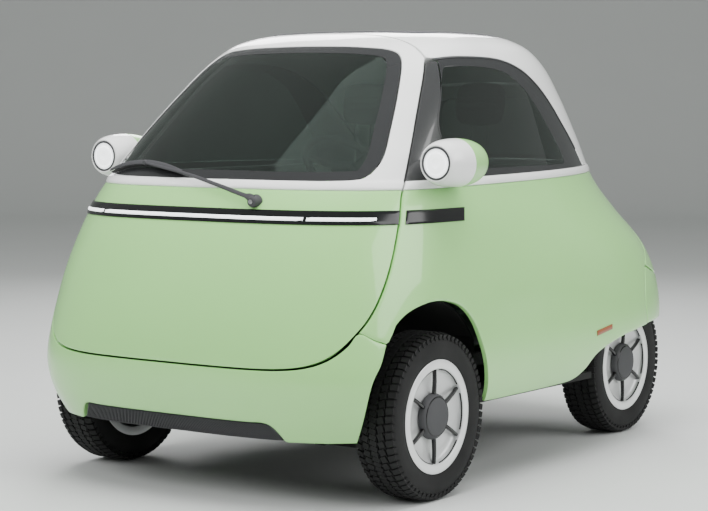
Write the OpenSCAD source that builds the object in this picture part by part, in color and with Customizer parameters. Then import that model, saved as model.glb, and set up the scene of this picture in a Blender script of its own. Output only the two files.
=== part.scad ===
// Two-seat electric microcar with a front-opening door, as an assembly of separate parts.
// Frame: origin on the ground under the middle of the car, +Z up, front towards -Y, car's left +X.

/* [Body] */
// Overall length of the body (mm)
overall_length = 2519; // [2100:1:3030]
// Overall width of the body over the front arches (mm)
overall_width = 1473; // [1230:1:1770]
// Overall height above the ground (mm)
overall_height = 1501; // [1260:1:1810]
// Thickness of the doors and side walls (mm)
wall_thickness = 40; // [30:1:48]
// Thickness of the roof (mm)
roof_thickness = 30; // [24:1:36]
// Gap at the seams between panels (mm)
seam_gap = 7; // [5:0.5:8]

/* [Wheels] */
// Distance between the front and rear axles (mm)
wheelbase = 1563; // [1520:1:1600]
// Outer radius of the tyres (mm)
tyre_radius = 266; // [222:1:270]
// Width of the tyres (mm)
tyre_width = 144; // [115:1:150]
// Radius of the tyre bead and wheel barrel (mm)
bead_radius = 166; // [150:1:180]
// Half track of the front wheels (mm)
front_half_track = 626; // [610:1:630]
// Half track of the rear wheels (mm)
rear_half_track = 463; // [455:1:470]

/* [Cabin] */
// Width of the seat bench (mm)
seat_width = 960; // [800:1:1000]
// Thickness of the seat cushion (mm)
cushion_thickness = 130; // [105:1:158]
// Radius of the steering wheel (mm)
steering_radius = 160; // [130:1:170]

/* [Mounts] */
// Radius of the towing-eye socket (mm)
tow_radius = 8; // [6:0.5:10]
// Side of each jacking pad (mm)
pad_size = 60; // [50:1:72]

/* [Output] */
// Sub-part to draw, or all

/* [Hidden] */
sx = overall_width / 1473;
sy = overall_length / 2519;
sz = overall_height / 1501;
body_scale = [sx, sy, sz];
front_axle_y = 32.5 - wheelbase / 2;
rear_axle_y = 32.5 + wheelbase / 2;
axle_z = tyre_radius;
skin = 14;
glass = 5;
belt_z = 976;
half_seam = seam_gap / 2;

// Body sections: height, front y, rear y, half width, y of greatest width, front and rear fullness.
RINGS = [[212, -1206, 1060, 646, -760, 3.2, 3.6], [300, -1240, 1150, 692, -780, 3.1, 3.9],
  [400, -1258, 1235, 706, -800, 3.0, 4.2], [540, -1244, 1259, 702, -790, 2.8, 4.0],
  [700, -1197, 1236, 696, -730, 2.8, 3.3], [850, -1132, 1115, 672, -650, 2.9, 2.65],
  [975, -1050, 1000, 636, -560, 3.1, 2.4], [1120, -915, 905, 592, -440, 3.1, 2.35],
  [1270, -752, 785, 545, -300, 3.1, 2.3], [1390, -605, 640, 500, -180, 3.1, 2.3],
  [1458, -485, 465, 446, -90, 3.0, 2.3], [1488, -330, 280, 330, -40, 2.6, 2.2],
  [1497, -20, -20, 0, -20, 2.2, 2.2]];
LAST = len(RINGS) - 1;
flare_width = 32;
flare_pos = [-860, 400];
flare_size = [350, 270];

function cr(a, b, c, d, f) = 0.5 * (2 * b + (c - a) * f + (2 * a - 5 * b + 4 * c - d) * f * f
  + (3 * b - a - 3 * c + d) * f * f * f);
function at(l, i) = i < 0 ? 2 * l[0] - l[1] : i >= len(l) ? 2 * l[len(l) - 1] - l[len(l) - 2] : l[i];
// Smooth curve through the points of a list, at fraction f of its length.
function curve(l, f) = let (p = f * (len(l) - 1), i = max(0, min(floor(p), len(l) - 2)))
  cr(at(l, i - 1), l[i], l[i + 1], at(l, i + 2), p - i);
function ring(t) = curve(RINGS, t / LAST);
HEIGHTS = [for (t = [0:0.05:LAST]) [ring(t)[0], t]];
function tz(z) = lookup(z, HEIGHTS);
function pw(v, e) = v <= 0 ? 0 : pow(v, e);
// Point of the body surface at angle u round the car (0 front, 90 left, 180 rear) and level t.
function surf(u, t) = let (r = ring(t), s = sin(u), c = cos(u), n = c > 0 ? r[5] : r[6],
  x = r[3] * pw(abs(s), 2 / n), d = pw(abs(c), 2 / n),
  y = c > 0 ? r[4] - (r[4] - r[1]) * d : r[4] + (r[2] - r[4]) * d,
  g = flare_width * exp(-pow((y - flare_pos[0]) / flare_size[0], 2)
    - pow((r[0] - flare_pos[1]) / flare_size[1], 2)) * abs(s))
  [sign(s) * (x + g), y, r[0]];
function normal(u, t) = let (a = surf(u + 0.5, t) - surf(u - 0.5, t),
  b = surf(u, min(t + 0.03, LAST)) - surf(u, t - 0.03), c = cross(a, b)) c / norm(c);
// Angles round the car for a given x (front or rear) or a given y, at level t.
function ux(x, t) = let (r = ring(t)) sign(x) * asin(min(1, pw(abs(x) / r[3], r[5] / 2)));
function rx(x, t) = let (r = ring(t)) 180 - asin(min(1, pw(abs(x) / r[3], r[6] / 2)));
function uy(y, t) = let (r = ring(t)) y < r[4]
  ? acos(min(1, pw((r[4] - y) / (r[4] - r[1]), r[5] / 2)))
  : 180 - acos(min(1, pw((y - r[4]) / (r[2] - r[4]), r[6] / 2)));
// Points [u, t] from lists of [x, z] on the front, [x, z] on the rear, or [y, z] on the side.
function front_pts(l) = [for (p = l) let (t = tz(p[1])) [ux(p[0], t), t]];
function rear_pts(l) = [for (p = l) let (t = tz(p[1])) [rx(p[0], t), t]];
function side_pts(l) = [for (p = l) let (t = tz(p[1])) [uy(p[0], t), t]];
function rev(l) = [for (i = [len(l) - 1:-1:0]) l[i]];
function mir(l) = [for (p = l) [-p[0], p[1]]];
function mir_r(l) = [for (p = l) [360 - p[0], p[1]]];
function tail(l) = [for (i = [1:len(l) - 1]) l[i]];
function both(l) = concat(rev(mir(l)), tail(l));
function both_r(l) = concat(l, tail(rev(mir_r(l))));
function lin(l, f) = let (p = f * (len(l) - 1), i = max(0, min(floor(p), len(l) - 2)))
  l[i] + (p - i) * (l[i + 1] - l[i]);
// Patch of the surface between four edges, blended as [u, t].
function blend(bot, top, lef, rig, a, b) = let (l = lin(lef, a), r = lin(rig, a),
  c = lin(bot, b), d = lin(top, b), e = lin(bot, 0), f = lin(bot, 1),
  g = lin(top, 0), h = lin(top, 1))
  (1 - a) * c + a * d + (1 - b) * l + b * r
  - (1 - a) * ((1 - b) * e + b * f) - a * ((1 - b) * g + b * h);

// Closed shell from two grids of points, with m rows and n columns of quads.
module shell(outer, inner, m, n) {
  k = (m + 1) * (n + 1);
  function o(i, j) = i * (n + 1) + j;
  function q(i, j) = k + o(i, j);
  faces = concat(
    [for (i = [0:m - 1], j = [0:n - 1]) [o(i, j), o(i + 1, j), o(i + 1, j + 1)]],
    [for (i = [0:m - 1], j = [0:n - 1]) [o(i, j), o(i + 1, j + 1), o(i, j + 1)]],
    [for (i = [0:m - 1], j = [0:n - 1]) [q(i, j), q(i + 1, j + 1), q(i + 1, j)]],
    [for (i = [0:m - 1], j = [0:n - 1]) [q(i, j), q(i, j + 1), q(i + 1, j + 1)]],
    [for (j = [0:n - 1]) [o(0, j), o(0, j + 1), q(0, j + 1)]],
    [for (j = [0:n - 1]) [o(0, j), q(0, j + 1), q(0, j)]],
    [for (j = [0:n - 1]) [o(m, j + 1), o(m, j), q(m, j)]],
    [for (j = [0:n - 1]) [o(m, j + 1), q(m, j), q(m, j + 1)]],
    [for (i = [0:m - 1]) [o(i + 1, 0), o(i, 0), q(i, 0)]],
    [for (i = [0:m - 1]) [o(i + 1, 0), q(i, 0), q(i + 1, 0)]],
    [for (i = [0:m - 1]) [o(i, n), o(i + 1, n), q(i + 1, n)]],
    [for (i = [0:m - 1]) [o(i, n), q(i + 1, n), q(i, n)]]);
  scale(body_scale) polyhedron(concat(outer, inner), faces, convexity = 6);
}

// Closed frame from two grids whose columns run right round, clockwise seen from outside.
module loop_shell(outer, inner, m, n) {
  k = (m + 1) * n;
  function o(i, j) = i * n + j % n;
  function q(i, j) = k + o(i, j);
  faces = concat(
    [for (i = [0:m - 1], j = [0:n - 1]) [o(i, j), o(i + 1, j), o(i + 1, j + 1)]],
    [for (i = [0:m - 1], j = [0:n - 1]) [o(i, j), o(i + 1, j + 1), o(i, j + 1)]],
    [for (i = [0:m - 1], j = [0:n - 1]) [q(i, j), q(i + 1, j + 1), q(i + 1, j)]],
    [for (i = [0:m - 1], j = [0:n - 1]) [q(i, j), q(i, j + 1), q(i + 1, j + 1)]],
    [for (j = [0:n - 1]) [o(0, j), o(0, j + 1), q(0, j + 1)]],
    [for (j = [0:n - 1]) [o(0, j), q(0, j + 1), q(0, j)]],
    [for (j = [0:n - 1]) [o(m, j + 1), o(m, j), q(m, j)]],
    [for (j = [0:n - 1]) [o(m, j + 1), q(m, j), q(m, j + 1)]]);
  scale(body_scale) polyhedron(concat(outer, inner), faces, convexity = 6);
}

// Panel between four edges, from depth d0 (outer face) to depth d1 below the surface.
module panel(bot, top, lef, rig, m, n, d0, d1) {
  uv = [for (i = [0:m], j = [0:n]) blend(bot, top, lef, rig, i / m, j / n)];
  outer = [for (p = uv) surf(p[0], p[1]) - d0 * normal(p[0], p[1])];
  inner = [for (p = uv) surf(p[0], p[1]) - d1 * normal(p[0], p[1])];
  shell(outer, inner, m, n);
}

// Frame between an inner and an outer outline given clockwise from outside as [u, t].
module frame(inside, outside, m, n, d0, d1) {
  uv = [for (i = [0:m], j = [0:n - 1]) let (a = i / m)
    (1 - a) * lin(inside, j / n) + a * lin(outside, j / n)];
  loop_shell([for (p = uv) surf(p[0], p[1]) - d0 * normal(p[0], p[1])],
    [for (p = uv) surf(p[0], p[1]) - d1 * normal(p[0], p[1])], m, n);
}

// Strip along a path of [u, t] points, between heights dt below and above it.
module strip(path, below, above, n, d0, d1) {
  lo = [for (p = path) [p[0], tz(ring(p[1])[0] - below)]];
  hi = [for (p = path) [p[0], tz(ring(p[1])[0] + above)]];
  panel(lo, hi, [lo[0], hi[0]], [lo[len(lo) - 1], hi[len(hi) - 1]], 1, n, d0, d1);
}

module mirrored() {
  mirror([1, 0, 0]) children();
}

// Angle and level of the roof point over a given x and y.
function reach(x, y, t) = let (r = ring(t), n = y < r[4] ? r[5] : r[6],
  l = y < r[4] ? r[4] - r[1] : r[2] - r[4]) pow(abs(x) / r[3], n) + pow(abs(y - r[4]) / l, n);
function roof_t(x, y, lo = 5, hi = 11.98, k = 16) = k == 0 ? (lo + hi) / 2
  : let (t = (lo + hi) / 2) reach(x, y, t) > 1 ? roof_t(x, y, lo, t, k - 1)
  : roof_t(x, y, t, hi, k - 1);
function roof_pt(x, y) = let (t = roof_t(x, y)) [sign(x) * uy(y, t), t];
function blunt(a, r) = r / pow(pow(abs(cos(a)), 8) + pow(abs(sin(a)), 8), 1 / 8) * [cos(a), sin(a)];

// Seams: the front door up its left side [y, z] and along its top [x, y], and the car's other edges.
DOOR_SIDE = [[-1087, 555], [-1052, 598], [-1016, 650], [-961, 739], [-902, 842], [-851, 931],
  [-821, 976], [-721, 1098], [-615, 1224], [-514, 1336], [-478, 1375]];
DOOR_TOP = [[0, -402], [110, -406], [210, -415], [300, -427], [370, -440], [415, -449], [446, -458]];
ARCH = [[-984, 572], [-925, 611], [-840, 632], [-759, 633], [-700, 624], [-647, 608], [-600, 580],
  [-562, 543], [-535, 500], [-512, 455], [-495, 410], [-484, 365], [-477, 320], [-474, 283]];
SILL = [[-400, 280], [-200, 279], [0, 279], [128, 283], [208, 310], [299, 365], [475, 402],
  [620, 415], [765, 425]];
REAR_SEAM = [[765, 428], [757, 516], [785, 600], [835, 650], [915, 700], [925, 750], [905, 800],
  [880, 850], [850, 900], [805, 950], [762, 994]];
RAIL = [[-440, 1392], [-362, 1400], [-280, 1402], [-198, 1402], [-130, 1400], [-71, 1395],
  [-20, 1387], [28, 1376], [85, 1359], [133, 1339], [190, 1311], [246, 1277], [302, 1236],
  [358, 1189], [420, 1138], [479, 1086], [540, 1030]];
TAIL_SIDE = [[384, 1060], [374, 1100], [358, 1160], [338, 1220], [308, 1280], [275, 1315],
  [225, 1335], [150, 1346], [75, 1350], [0, 1351]];
DIVIDER = [[-566, 1006], [-572, 1070], [-570, 1130], [-556, 1190], [-486, 1286], [-425, 1386]];
GLASS_SIDE = [[526, 1026], [531, 1055], [526, 1090], [508, 1146], [468, 1252], [426, 1344],
  [405, 1378], [392, 1394]];
GLASS_TOP = [[0, 1437], [95, 1436], [185, 1434], [260, 1430], [325, 1424], [367, 1412], [392, 1394]];
GLASS_LOW = [[0, 1004], [175, 1003.5], [345, 1003.5], [500, 1009], [526, 1026]];
REAR_LOW = [[0, 1030], [120, 1030], [240, 1031], [310, 1036], [328, 1056]];
REAR_UP = [[328, 1056], [318, 1110], [303, 1170], [281, 1230], [262, 1262]];
REAR_TOP = [[0, 1300], [80, 1299], [160, 1295], [225, 1284], [262, 1262]];
belt_height = 27;
touch = 0.3;
corner_z = 555;

function shift(l, v) = [for (p = l) p + v];
function door_low(f) = 438 + 117 * pow(abs(f), 5);
function along(l, z) = lookup(z, [for (p = l) [p[1], p[0]]]);
function door_u(z, off) = uy(along(DOOR_SIDE, z) + off, tz(z));
function seam_u(z, off) = uy(along(REAR_SEAM, z) + off, tz(z));
function belt_low(y) = 976 + 20 * max(0, min(1, (y + 821) / 1500));
function fan(k) = [for (i = [-k:k]) i / k];
function inset(l, c, s) = [for (p = l) c + s * (p - c)];

// The door's inner face ends higher at its lower corners, so that it swings clear of the bumper.
door_rise = 14;
module front_door_panel() {
  m = 10;
  n = 32;
  function low(rise) = [for (f = fan(8)) [f * door_u(corner_z, -half_seam),
    tz(door_low(f) + half_seam + rise * min(1, 2 * abs(f)))]];
  top = [for (f = fan(8)) [f * door_u(belt_z, -half_seam), tz(belt_z - touch)]];
  right = [for (z = [598, 624, 650, 694, 739, 790, 842, 886, 931]) [door_u(z, -half_seam), tz(z)]];
  function side(rise) = concat([low(rise)[16]], right, [top[16]]);
  function face(rise, d) = [for (i = [0:m], j = [0:n])
    let (p = blend(low(rise), top, mir(side(rise)), side(rise), i / m, j / n))
    surf(p[0], p[1]) - d * normal(p[0], p[1])];
  color("palegreen") shell(face(0, 0), face(door_rise, wall_thickness), m, n);
}

function door_outer() = concat([for (p = DOOR_TOP) roof_pt(max(p[0], 0.01), p[1] - half_seam)],
  [for (z = [1375, 1336, 1224, 1110, 1045, 1005, belt_z + touch]) [door_u(z, -half_seam), tz(z)]],
  front_pts([[540, belt_z + touch], [350, belt_z + touch], [175, belt_z + touch], [0, belt_z + touch]]));
function glass_outline() = concat(GLASS_TOP, tail(rev(GLASS_SIDE)), tail(rev(GLASS_LOW)));

module front_door_frame() {
  inner = front_pts(glass_outline());
  outer = door_outer();
  color("white") frame(concat(inner, tail(rev(mir(inner)))), concat(outer, tail(rev(mir(outer)))),
    3, 68, 0, wall_thickness);
}

module windscreen() {
  mid = [0, 1215];
  low = front_pts(inset(GLASS_LOW, mid, 0.995));
  top = front_pts(inset(GLASS_TOP, mid, 0.995));
  side = front_pts(inset(GLASS_SIDE, mid, 0.995));
  color("dimgray") panel(both(low), both(top), mir(side), side, 7, 24, 2, 2 + glass);
}

bar_z = 893;
bar_half = 21;
bumper_t = 18;
module front_light_bar() {
  edge = door_u(bar_z, -12);
  color("black") strip([for (f = fan(16)) [f * edge, tz(bar_z)]], bar_half, bar_half, 32, -4.5, -1);
}

module wiper() {
  color("black") strip(front_pts([[-500, 1012], [-400, 1030], [-300, 1036], [-200, 1030], [-125, 1018]]),
    5, 5, 8, -16, -3);
  color("black") strip(front_pts([[-300, 1036], [-100, 1006], [60, 974], [224, 938]]), 8, 8, 6, -24, -17);
  color("black") translate([224, -1094, 938]) rotate([90, 0, 0]) cylinder(r = 17, h = 16, $fn = 48);
}

BUMPER_LOW = [[0, 272], [150, 272], [293, 272], [372, 268], [414, 214], [530, 213]];
BUMPER_END = [[-1054, 213], [-1079, 307], [-1075, 400], [-1047, 459], [-1022, 518]];
module front_bumper() {
  end = side_pts(BUMPER_END);
  low = concat(front_pts(BUMPER_LOW), [end[0]]);
  top = concat([for (f = [0:0.125:1]) [f * door_u(corner_z, half_seam), tz(door_low(f) - half_seam)]],
    side_pts([[-1052, 531]]), [end[4]]);
  color("palegreen") panel(both(low), both(top), mir(end), end, 8, 48, 0, bumper_t);
}

module grille() {
  low = front_pts([[-411, 214], [0, 214], [411, 214]]);
  top = front_pts([[-364, 268], [0, 269], [364, 268]]);
  color("black") panel(low, top, [low[0], top[0]], [low[2], top[2]], 2, 24, 5, bumper_t);
}

// The side wall, thinner round the front arch, where the wheel steers out.
arch_mid = [-749, 266];
function wall_at(y, z) = skin + (wall_thickness - skin)
  * max(0, min(1, (norm([y, z] - arch_mid) - 385) / 120));
BELT_MATCH = [[-1085, -818], [-984, -770], [-840, -690], [-600, -545], [-300, -280], [128, 115],
  [475, 430], [765, 759]];
module side_panel() {
  m = 10;
  n = 50;
  start = [[-1084, corner_z + touch], [-1052, 532 + touch], [-1019, 520]];
  low = concat(start, ARCH, SILL);
  top = [for (p = low) let (y = lookup(p[0], BELT_MATCH)) [y, belt_low(y) - touch]];
  front = concat([low[0]], [for (z = [598, 624, 650, 694, 739, 790, 842, 886, 931])
    [along(DOOR_SIDE, z) + half_seam, z]], [top[0]]);
  back = concat([low[len(low) - 1]], [for (p = tail(REAR_SEAM)) if (p[1] < 990)
    p - [half_seam, 0]], [top[len(top) - 1]]);
  uv = side_pts([for (i = [0:m], j = [0:n]) blend(low, top, front, back, i / m, j / n)]);
  outer = [for (p = uv) surf(p[0], p[1])];
  inner = [for (p = uv) let (s = surf(p[0], p[1])) s - wall_at(s[1], s[2]) * normal(p[0], p[1])];
  shell(outer, inner, m, n);
}
module side_panel_left() {
  color("palegreen") side_panel();
}
module side_panel_right() {
  color("palegreen") mirrored() side_panel();
}

SUN_TURN = [[0, -90], [6, -47], [26, 40], [27, 46], [36, 90]];
sun_hole = 322;
sun_half = 335;
sun_top = 5;
sun_under = 0.9;
module belt_side() {
  low = side_pts([for (i = [0:24]) let (y = -818 + i * 65.6) [y, belt_low(y) + touch]]);
  top = side_pts([for (i = [0:24]) let (y = -795 + i * 63.9) [y, belt_low(y) + belt_height - touch]]);
  panel(low, top, [low[0], top[0]], [low[24], top[24]], 1, 24, 0, roof_thickness);
}
module roof() {
  lower = belt_low(700) + belt_height + touch;
  outer = concat([for (p = DOOR_TOP) roof_pt(max(p[0], 0.01), p[1] + half_seam)], side_pts(RAIL),
    side_pts([[600, lower], [670, lower], [along(REAR_SEAM, 994) - half_seam - 22, lower]]),
    rear_pts([for (p = TAIL_SIDE) p[0] > 0 ? p + [half_seam, 2] : p + [0, 3]]));
  inner = [for (i = [0:36]) let (p = blunt(lookup(i, SUN_TURN), sun_hole)) roof_pt(max(p[0], 0.01), p[1])];
  color("white") frame(concat(rev(inner), tail(mir(inner))), concat(rev(outer), tail(mir(outer))),
    6, 72, 0, roof_thickness);
  color("white") belt_side();
  color("white") mirrored() belt_side();
}

function sun_at(a, b) = let (k = max(abs(a), abs(b)), t = atan2(b, a))
  k == 0 ? [0.01, 0.01] : k * norm(blunt(t, sun_half)) * [cos(t), sin(t)];
module sunroof() {
  n = 14;
  uv = [for (i = [0:n], j = [0:n]) let (p = sun_at(j * 2 / n - 1, i * 2 / n - 1))
    [roof_pt(p[0] == 0 ? 0.01 : p[0], p[1]), p]];
  top = [for (p = uv) let (s = surf(p[0][0], p[0][1])) [p[1][0], p[1][1], s[2]]];
  color("black") shell([for (p = top) p + [0, 0, sun_top]], [for (p = top) p + [0, 0, sun_under]], n, n);
}

module side_window() {
  low = side_pts([for (y = [-560, -280, 0, 270, 540]) [y, belt_low(y) + belt_height + touch]]);
  top = side_pts([for (i = [0:9]) let (p = RAIL[i]) i == 0 ? [-422, 1390] : p - [0, 1]]);
  front = side_pts(concat([[-560, belt_low(-560) + belt_height + touch]],
    [for (i = [1:4]) DIVIDER[i] + [6, 0]], [[-422, 1390]]));
  back = side_pts(concat([[540, belt_low(540) + belt_height + touch]],
    [for (i = [15:-1:9]) RAIL[i] - [1, 1]]));
  panel(low, top, front, back, 7, 36, 2, 2 + glass);
}
module side_window_left() {
  color("dimgray") side_window();
}
module side_window_right() {
  color("dimgray") mirrored() side_window();
}

module quarter_panel() {
  zs = [belt_low(-790) + belt_height + touch, 1070, 1130, 1190, 1286, 1380];
  front = [for (z = zs) [door_u(min(z, 1375), half_seam + (z > 1375 ? 3 : 0)), tz(z)]];
  back = side_pts([for (i = [0:5]) let (p = DIVIDER[i])
    [p[0] - (i == 5 ? 4 : 0), i == 0 ? belt_low(p[0]) + belt_height + touch : min(p[1], 1388)]]);
  panel([front[0], back[0]], [front[5], back[5]], front, back, 10, 4, 0.5, 30);
  strip(side_pts([[-843, bar_z], [-700, bar_z], [-556, bar_z]]), bar_half, bar_half, 6, -4.5, -1);
}
module quarter_panel_left() {
  color("black") quarter_panel();
}
module quarter_panel_right() {
  color("black") mirrored() quarter_panel();
}

pod_x = 692;
pod_z = 1059;
POD = [[0, -771], [30, -770], [52, -762], [63, -746], [71, -720], [76, -680], [77, -640], [73, -600],
  [64, -565], [52, -543], [40, -534], [0, -534]];
stalk = [-650, 1030];
stalk_r = 15;
module pod() {
  translate([pod_x * sx, 0, pod_z * sz]) rotate([-90, 0, 0]) rotate_extrude($fn = 64)
    polygon([for (p = POD) [p[0], p[1] * sy]]);
  root = side_pts([[stalk[0] + stalk_r / sy, stalk[1] - stalk_r / sz]])[0];
  x0 = surf(root[0], root[1])[0] * sx + touch;
  translate([x0, stalk[0] * sy, stalk[1] * sz]) rotate([0, 90, 0])
    cylinder(r = stalk_r, h = pod_x * sx - x0, $fn = 32);
}
module mirror_pod_left() {
  color("white") pod();
}
module mirror_pod_right() {
  color("white") mirrored() pod();
}

tail_corner_z = 640;
function tail_low(f) = 575 + 65 * pow(abs(f), 4);
function round_rear(f, u) = 180 + f * (180 - u);
module tailgate_panel() {
  low = [for (f = fan(8)) [round_rear(f, seam_u(tail_corner_z, half_seam)), tz(tail_low(f) + half_seam)]];
  top = [for (f = fan(8)) [round_rear(f, seam_u(990, half_seam)), tz(994 - touch)]];
  lef = concat([low[0]], [for (p = REAR_SEAM) if (p[1] > 645 && p[1] < 990)
    [seam_u(p[1], half_seam), tz(p[1])]], [top[0]]);
  color("palegreen") panel(low, top, lef, mir_r(lef), 8, 24, 0, wall_thickness);
}

module tailgate_frame() {
  z0 = 994 + touch;
  u0 = seam_u(990, half_seam);
  outer = concat([[180, tz(z0)]], [for (f = [0.33, 0.66, 0.9]) [180 - f * (180 - u0), tz(z0)]], [[u0, tz(z0)]],
    rear_pts([for (i = [0:9]) TAIL_SIDE[i][0] > 0 ? TAIL_SIDE[i] - [half_seam, 2] : TAIL_SIDE[i] - [0, 3]]));
  inner = rear_pts(concat(REAR_LOW, [REAR_UP[1], [310, 1140]], [REAR_UP[2], REAR_UP[3], REAR_UP[4]],
    [[225, 1284], [160, 1295], [110, 1298], [50, 1300], [0, 1300]]));
  color("white") frame(concat(inner, tail(rev(mir_r(inner)))), concat(outer, tail(rev(mir_r(outer)))),
    3, 56, 0, wall_thickness);
}

module rear_window() {
  mid = [0, 1165];
  low = rear_pts(inset(REAR_LOW, mid, 0.996));
  top = rear_pts(inset(REAR_TOP, mid, 0.996));
  side = rear_pts(inset(REAR_UP, mid, 0.996));
  color("dimgray") panel(both_r(rev(low)), both_r(rev(top)), side, mir_r(side), 4, 24, 2, 2 + glass);
}

module rear_light_bar() {
  edge = rx(372, tz(bar_z));
  color("darkred") strip([for (f = fan(12)) [round_rear(f, edge), tz(bar_z)]], bar_half, bar_half, 24, -4.5, -1);
}

REAR_BUMPER_LOW = [[0, 340], [200, 340], [345, 343], [372, 380], [384, 432], [480, 432], [580, 430]];
module rear_bumper() {
  low = concat([[seam_u(428, half_seam / 2), tz(428)]], rev(rear_pts(REAR_BUMPER_LOW)));
  edge = seam_u(tail_corner_z - half_seam, half_seam / 2);
  top = [for (f = fan(8)) [round_rear(f, edge), tz(tail_low(f) - half_seam)]];
  lef = concat([low[0]], [for (z = [516, 600]) [seam_u(z, half_seam / 2), tz(z)]], [top[0]]);
  color("palegreen") panel(both_r(low), top, lef, mir_r(lef), 6, 28, 0, bumper_t);
}

module side_marker() {
  strip(side_pts([[278, 437], [403, 450]]), 9, 9, 2, -4.5, -1);
}
module side_markers() {
  color("orange") side_marker();
  color("orange") mirrored() side_marker();
}

// Floor, running gear and cabin.
floor_z = 244;
floor_t = 24;
foot_x = 242;
foot_y = -1010;
side_x = 560;
deck_y = 486;
deck_z = 548;
tub_t = 12;
sill_y = [-430, -200, 0, 110];
sill_top = 330;
module sill_beam() {
  low = side_pts([for (y = sill_y) [y, floor_z + floor_t]]);
  top = side_pts([for (y = sill_y) [y, sill_top]]);
  panel(low, top, [low[0], top[0]], [low[3], top[3]], 2, 8, wall_thickness + 4.6, 150);
}
house_x = [286, 630];
house_r = 372;
house_t = 8;
house_y = [-313, 309];
house_low = floor_z * sz - axle_z;
bumper_clear = [560, 48];
wheel_clear_y = (front_axle_y + house_y[1]) / sy;
module house_profile(in) {
  intersection() {
    circle(r = house_r - in, $fn = 96);
    translate([house_y[0] + in, house_low])
      square([house_y[1] - house_y[0] - in - max(in, 20) * sign(in), 500]);
  }
}
module wheel_house() {
  arm_gap = [60, 44];
  translate([0, front_axle_y, axle_z]) rotate([90, 0, 90]) difference() {
    translate([0, 0, house_x[0] * sx]) linear_extrude(height = (house_x[1] - house_x[0]) * sx)
      house_profile(0);
    translate([0, 0, house_x[0] * sx + house_t]) linear_extrude(height = 400) house_profile(house_t);
    translate([house_y[0] + house_t, house_low - 1, house_x[0] * sx + house_t])
      cube([house_y[1] - house_y[0] - house_t - 20, 40, 400]);
    for (k = [-1, 1]) translate([-arm_gap[0] / 2, k * arm_z - arm_gap[1] / 2, house_x[0] * sx - 1])
      cube([arm_gap[0], arm_gap[1], house_t + 2]);
    translate([house_y[0] - 1, house_low - 1, bumper_clear[0] * sx])
      cube([40, bumper_clear[1] - house_low + 1, 400]);
  }
}
module floor_pan() {
  color("dimgray") scale(body_scale) {
    translate([-side_x, wheel_clear_y, floor_z]) cube([2 * side_x, deck_y - wheel_clear_y, floor_t]);
    translate([-foot_x, foot_y, floor_z]) cube([2 * foot_x, wheel_clear_y - foot_y, floor_t]);
    for (s = [-1, 1]) translate([s * 500 - pad_size / 2, -300, floor_z - 12])
      cube([pad_size, pad_size, 12]);
  }
  color("dimgray") mirrored() sill_beam();
  color("dimgray") sill_beam();
}
foot_h = 176;
module front_tub() {
  rise = floor_z + floor_t + touch;
  color("dimgray") scale(body_scale) {
    for (s = [-1, 1]) translate([s * (foot_x - tub_t / 2) - tub_t / 2, foot_y, rise])
      cube([tub_t, wheel_clear_y - foot_y, foot_h]);
    translate([-foot_x + tub_t + touch, foot_y, rise])
      cube([2 * (foot_x - tub_t - touch), tub_t, foot_h]);
  }
  for (s = [0, 1]) color("dimgray") mirror([s, 0, 0]) wheel_house();
}
module rear_deck() {
  color("dimgray") scale(body_scale) {
    translate([-370, deck_y, floor_z]) cube([740, tub_t, deck_z - floor_z]);
    translate([-560, deck_y, deck_z]) cube([1120, 380, tub_t]);
    translate([-500, deck_y + 380, deck_z]) cube([1000, 110, tub_t]);
    for (s = [-1, 1]) translate([s * 365 - 5, deck_y + tub_t, floor_z]) cube([10, 40, deck_z - floor_z]);
  }
}

battery_h = 100;
module battery_pack() {
  color("silver") translate([-340 * sx, -350 * sy, (floor_z + floor_t) * sz])
    cube([680 * sx, 360 * sy, battery_h]);
}

axle_r = 22;
module motor_unit() {
  color("silver") translate([-130, rear_axle_y - 90, axle_z - 90]) cube([260, 180, 170]);
}

arm_x = 330;
hub_in = 15;
spindle_r = 20;
spindle_end = 18;
run_gap = 0.05;
module rear_axle() {
  arm_y = (deck_y + tub_t) * sy + touch;
  color("black") {
    for (s = [-1, 1]) {
      translate([s > 0 ? 130 : -rear_half_track + hub_in + 6, rear_axle_y, axle_z]) rotate([0, 90, 0])
        cylinder(r = axle_r + 14, h = rear_half_track - hub_in - 136, $fn = 64);
      translate([s > 0 ? rear_half_track - hub_in - 6 : -rear_half_track - spindle_end, rear_axle_y, axle_z])
        rotate([0, 90, 0]) cylinder(r = spindle_r, h = hub_in + 6 + spindle_end, $fn = 64);
      translate([s * arm_x - 20, arm_y, axle_z - 20]) cube([40, rear_axle_y - arm_y - 20, 40]);
    }
  }
}

king_x = 41;
king_r = 17;
pin_r = 11;
king_top = 102;
arm_z = 118;
tower_x = foot_x * sx + 18 + touch;
beam_y = [front_axle_y - 38, 76];
beam_z = floor_z * sz - 30;
beam_h = 30 - touch;
tow_drop = 40;
module front_crossmember() {
  low = axle_z - arm_z - 9;
  color("black") {
    translate([-tower_x - 20, beam_y[0], beam_z]) cube([2 * tower_x + 40, beam_y[1], beam_h]);
    for (s = [-1, 1]) {
      translate([s * tower_x - 18, beam_y[0], low]) cube([36, beam_y[1], 2 * arm_z + 18]);
      for (k = [-1, 1]) {
        difference() {
          translate([s > 0 ? tower_x + 18 : -front_half_track + king_x - 26, front_axle_y - 15,
            axle_z + k * arm_z - 9]) cube([front_half_track - king_x + 26 - tower_x - 18, 30, 18]);
          translate([s * (front_half_track - king_x), front_axle_y, axle_z + k * arm_z - 20])
            cylinder(r = pin_r + run_gap, h = 40, $fn = 48);
        }
      }
    }
  }
  color("black") difference() {
    translate([-24, beam_y[0] - 60, beam_z - tow_drop]) cube([48, 60, beam_h + tow_drop]);
    translate([0, beam_y[0] - 61, beam_z - tow_drop + 17]) rotate([-90, 0, 0])
      cylinder(r = tow_radius, h = 51, $fn = 48);
  }
}

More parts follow.
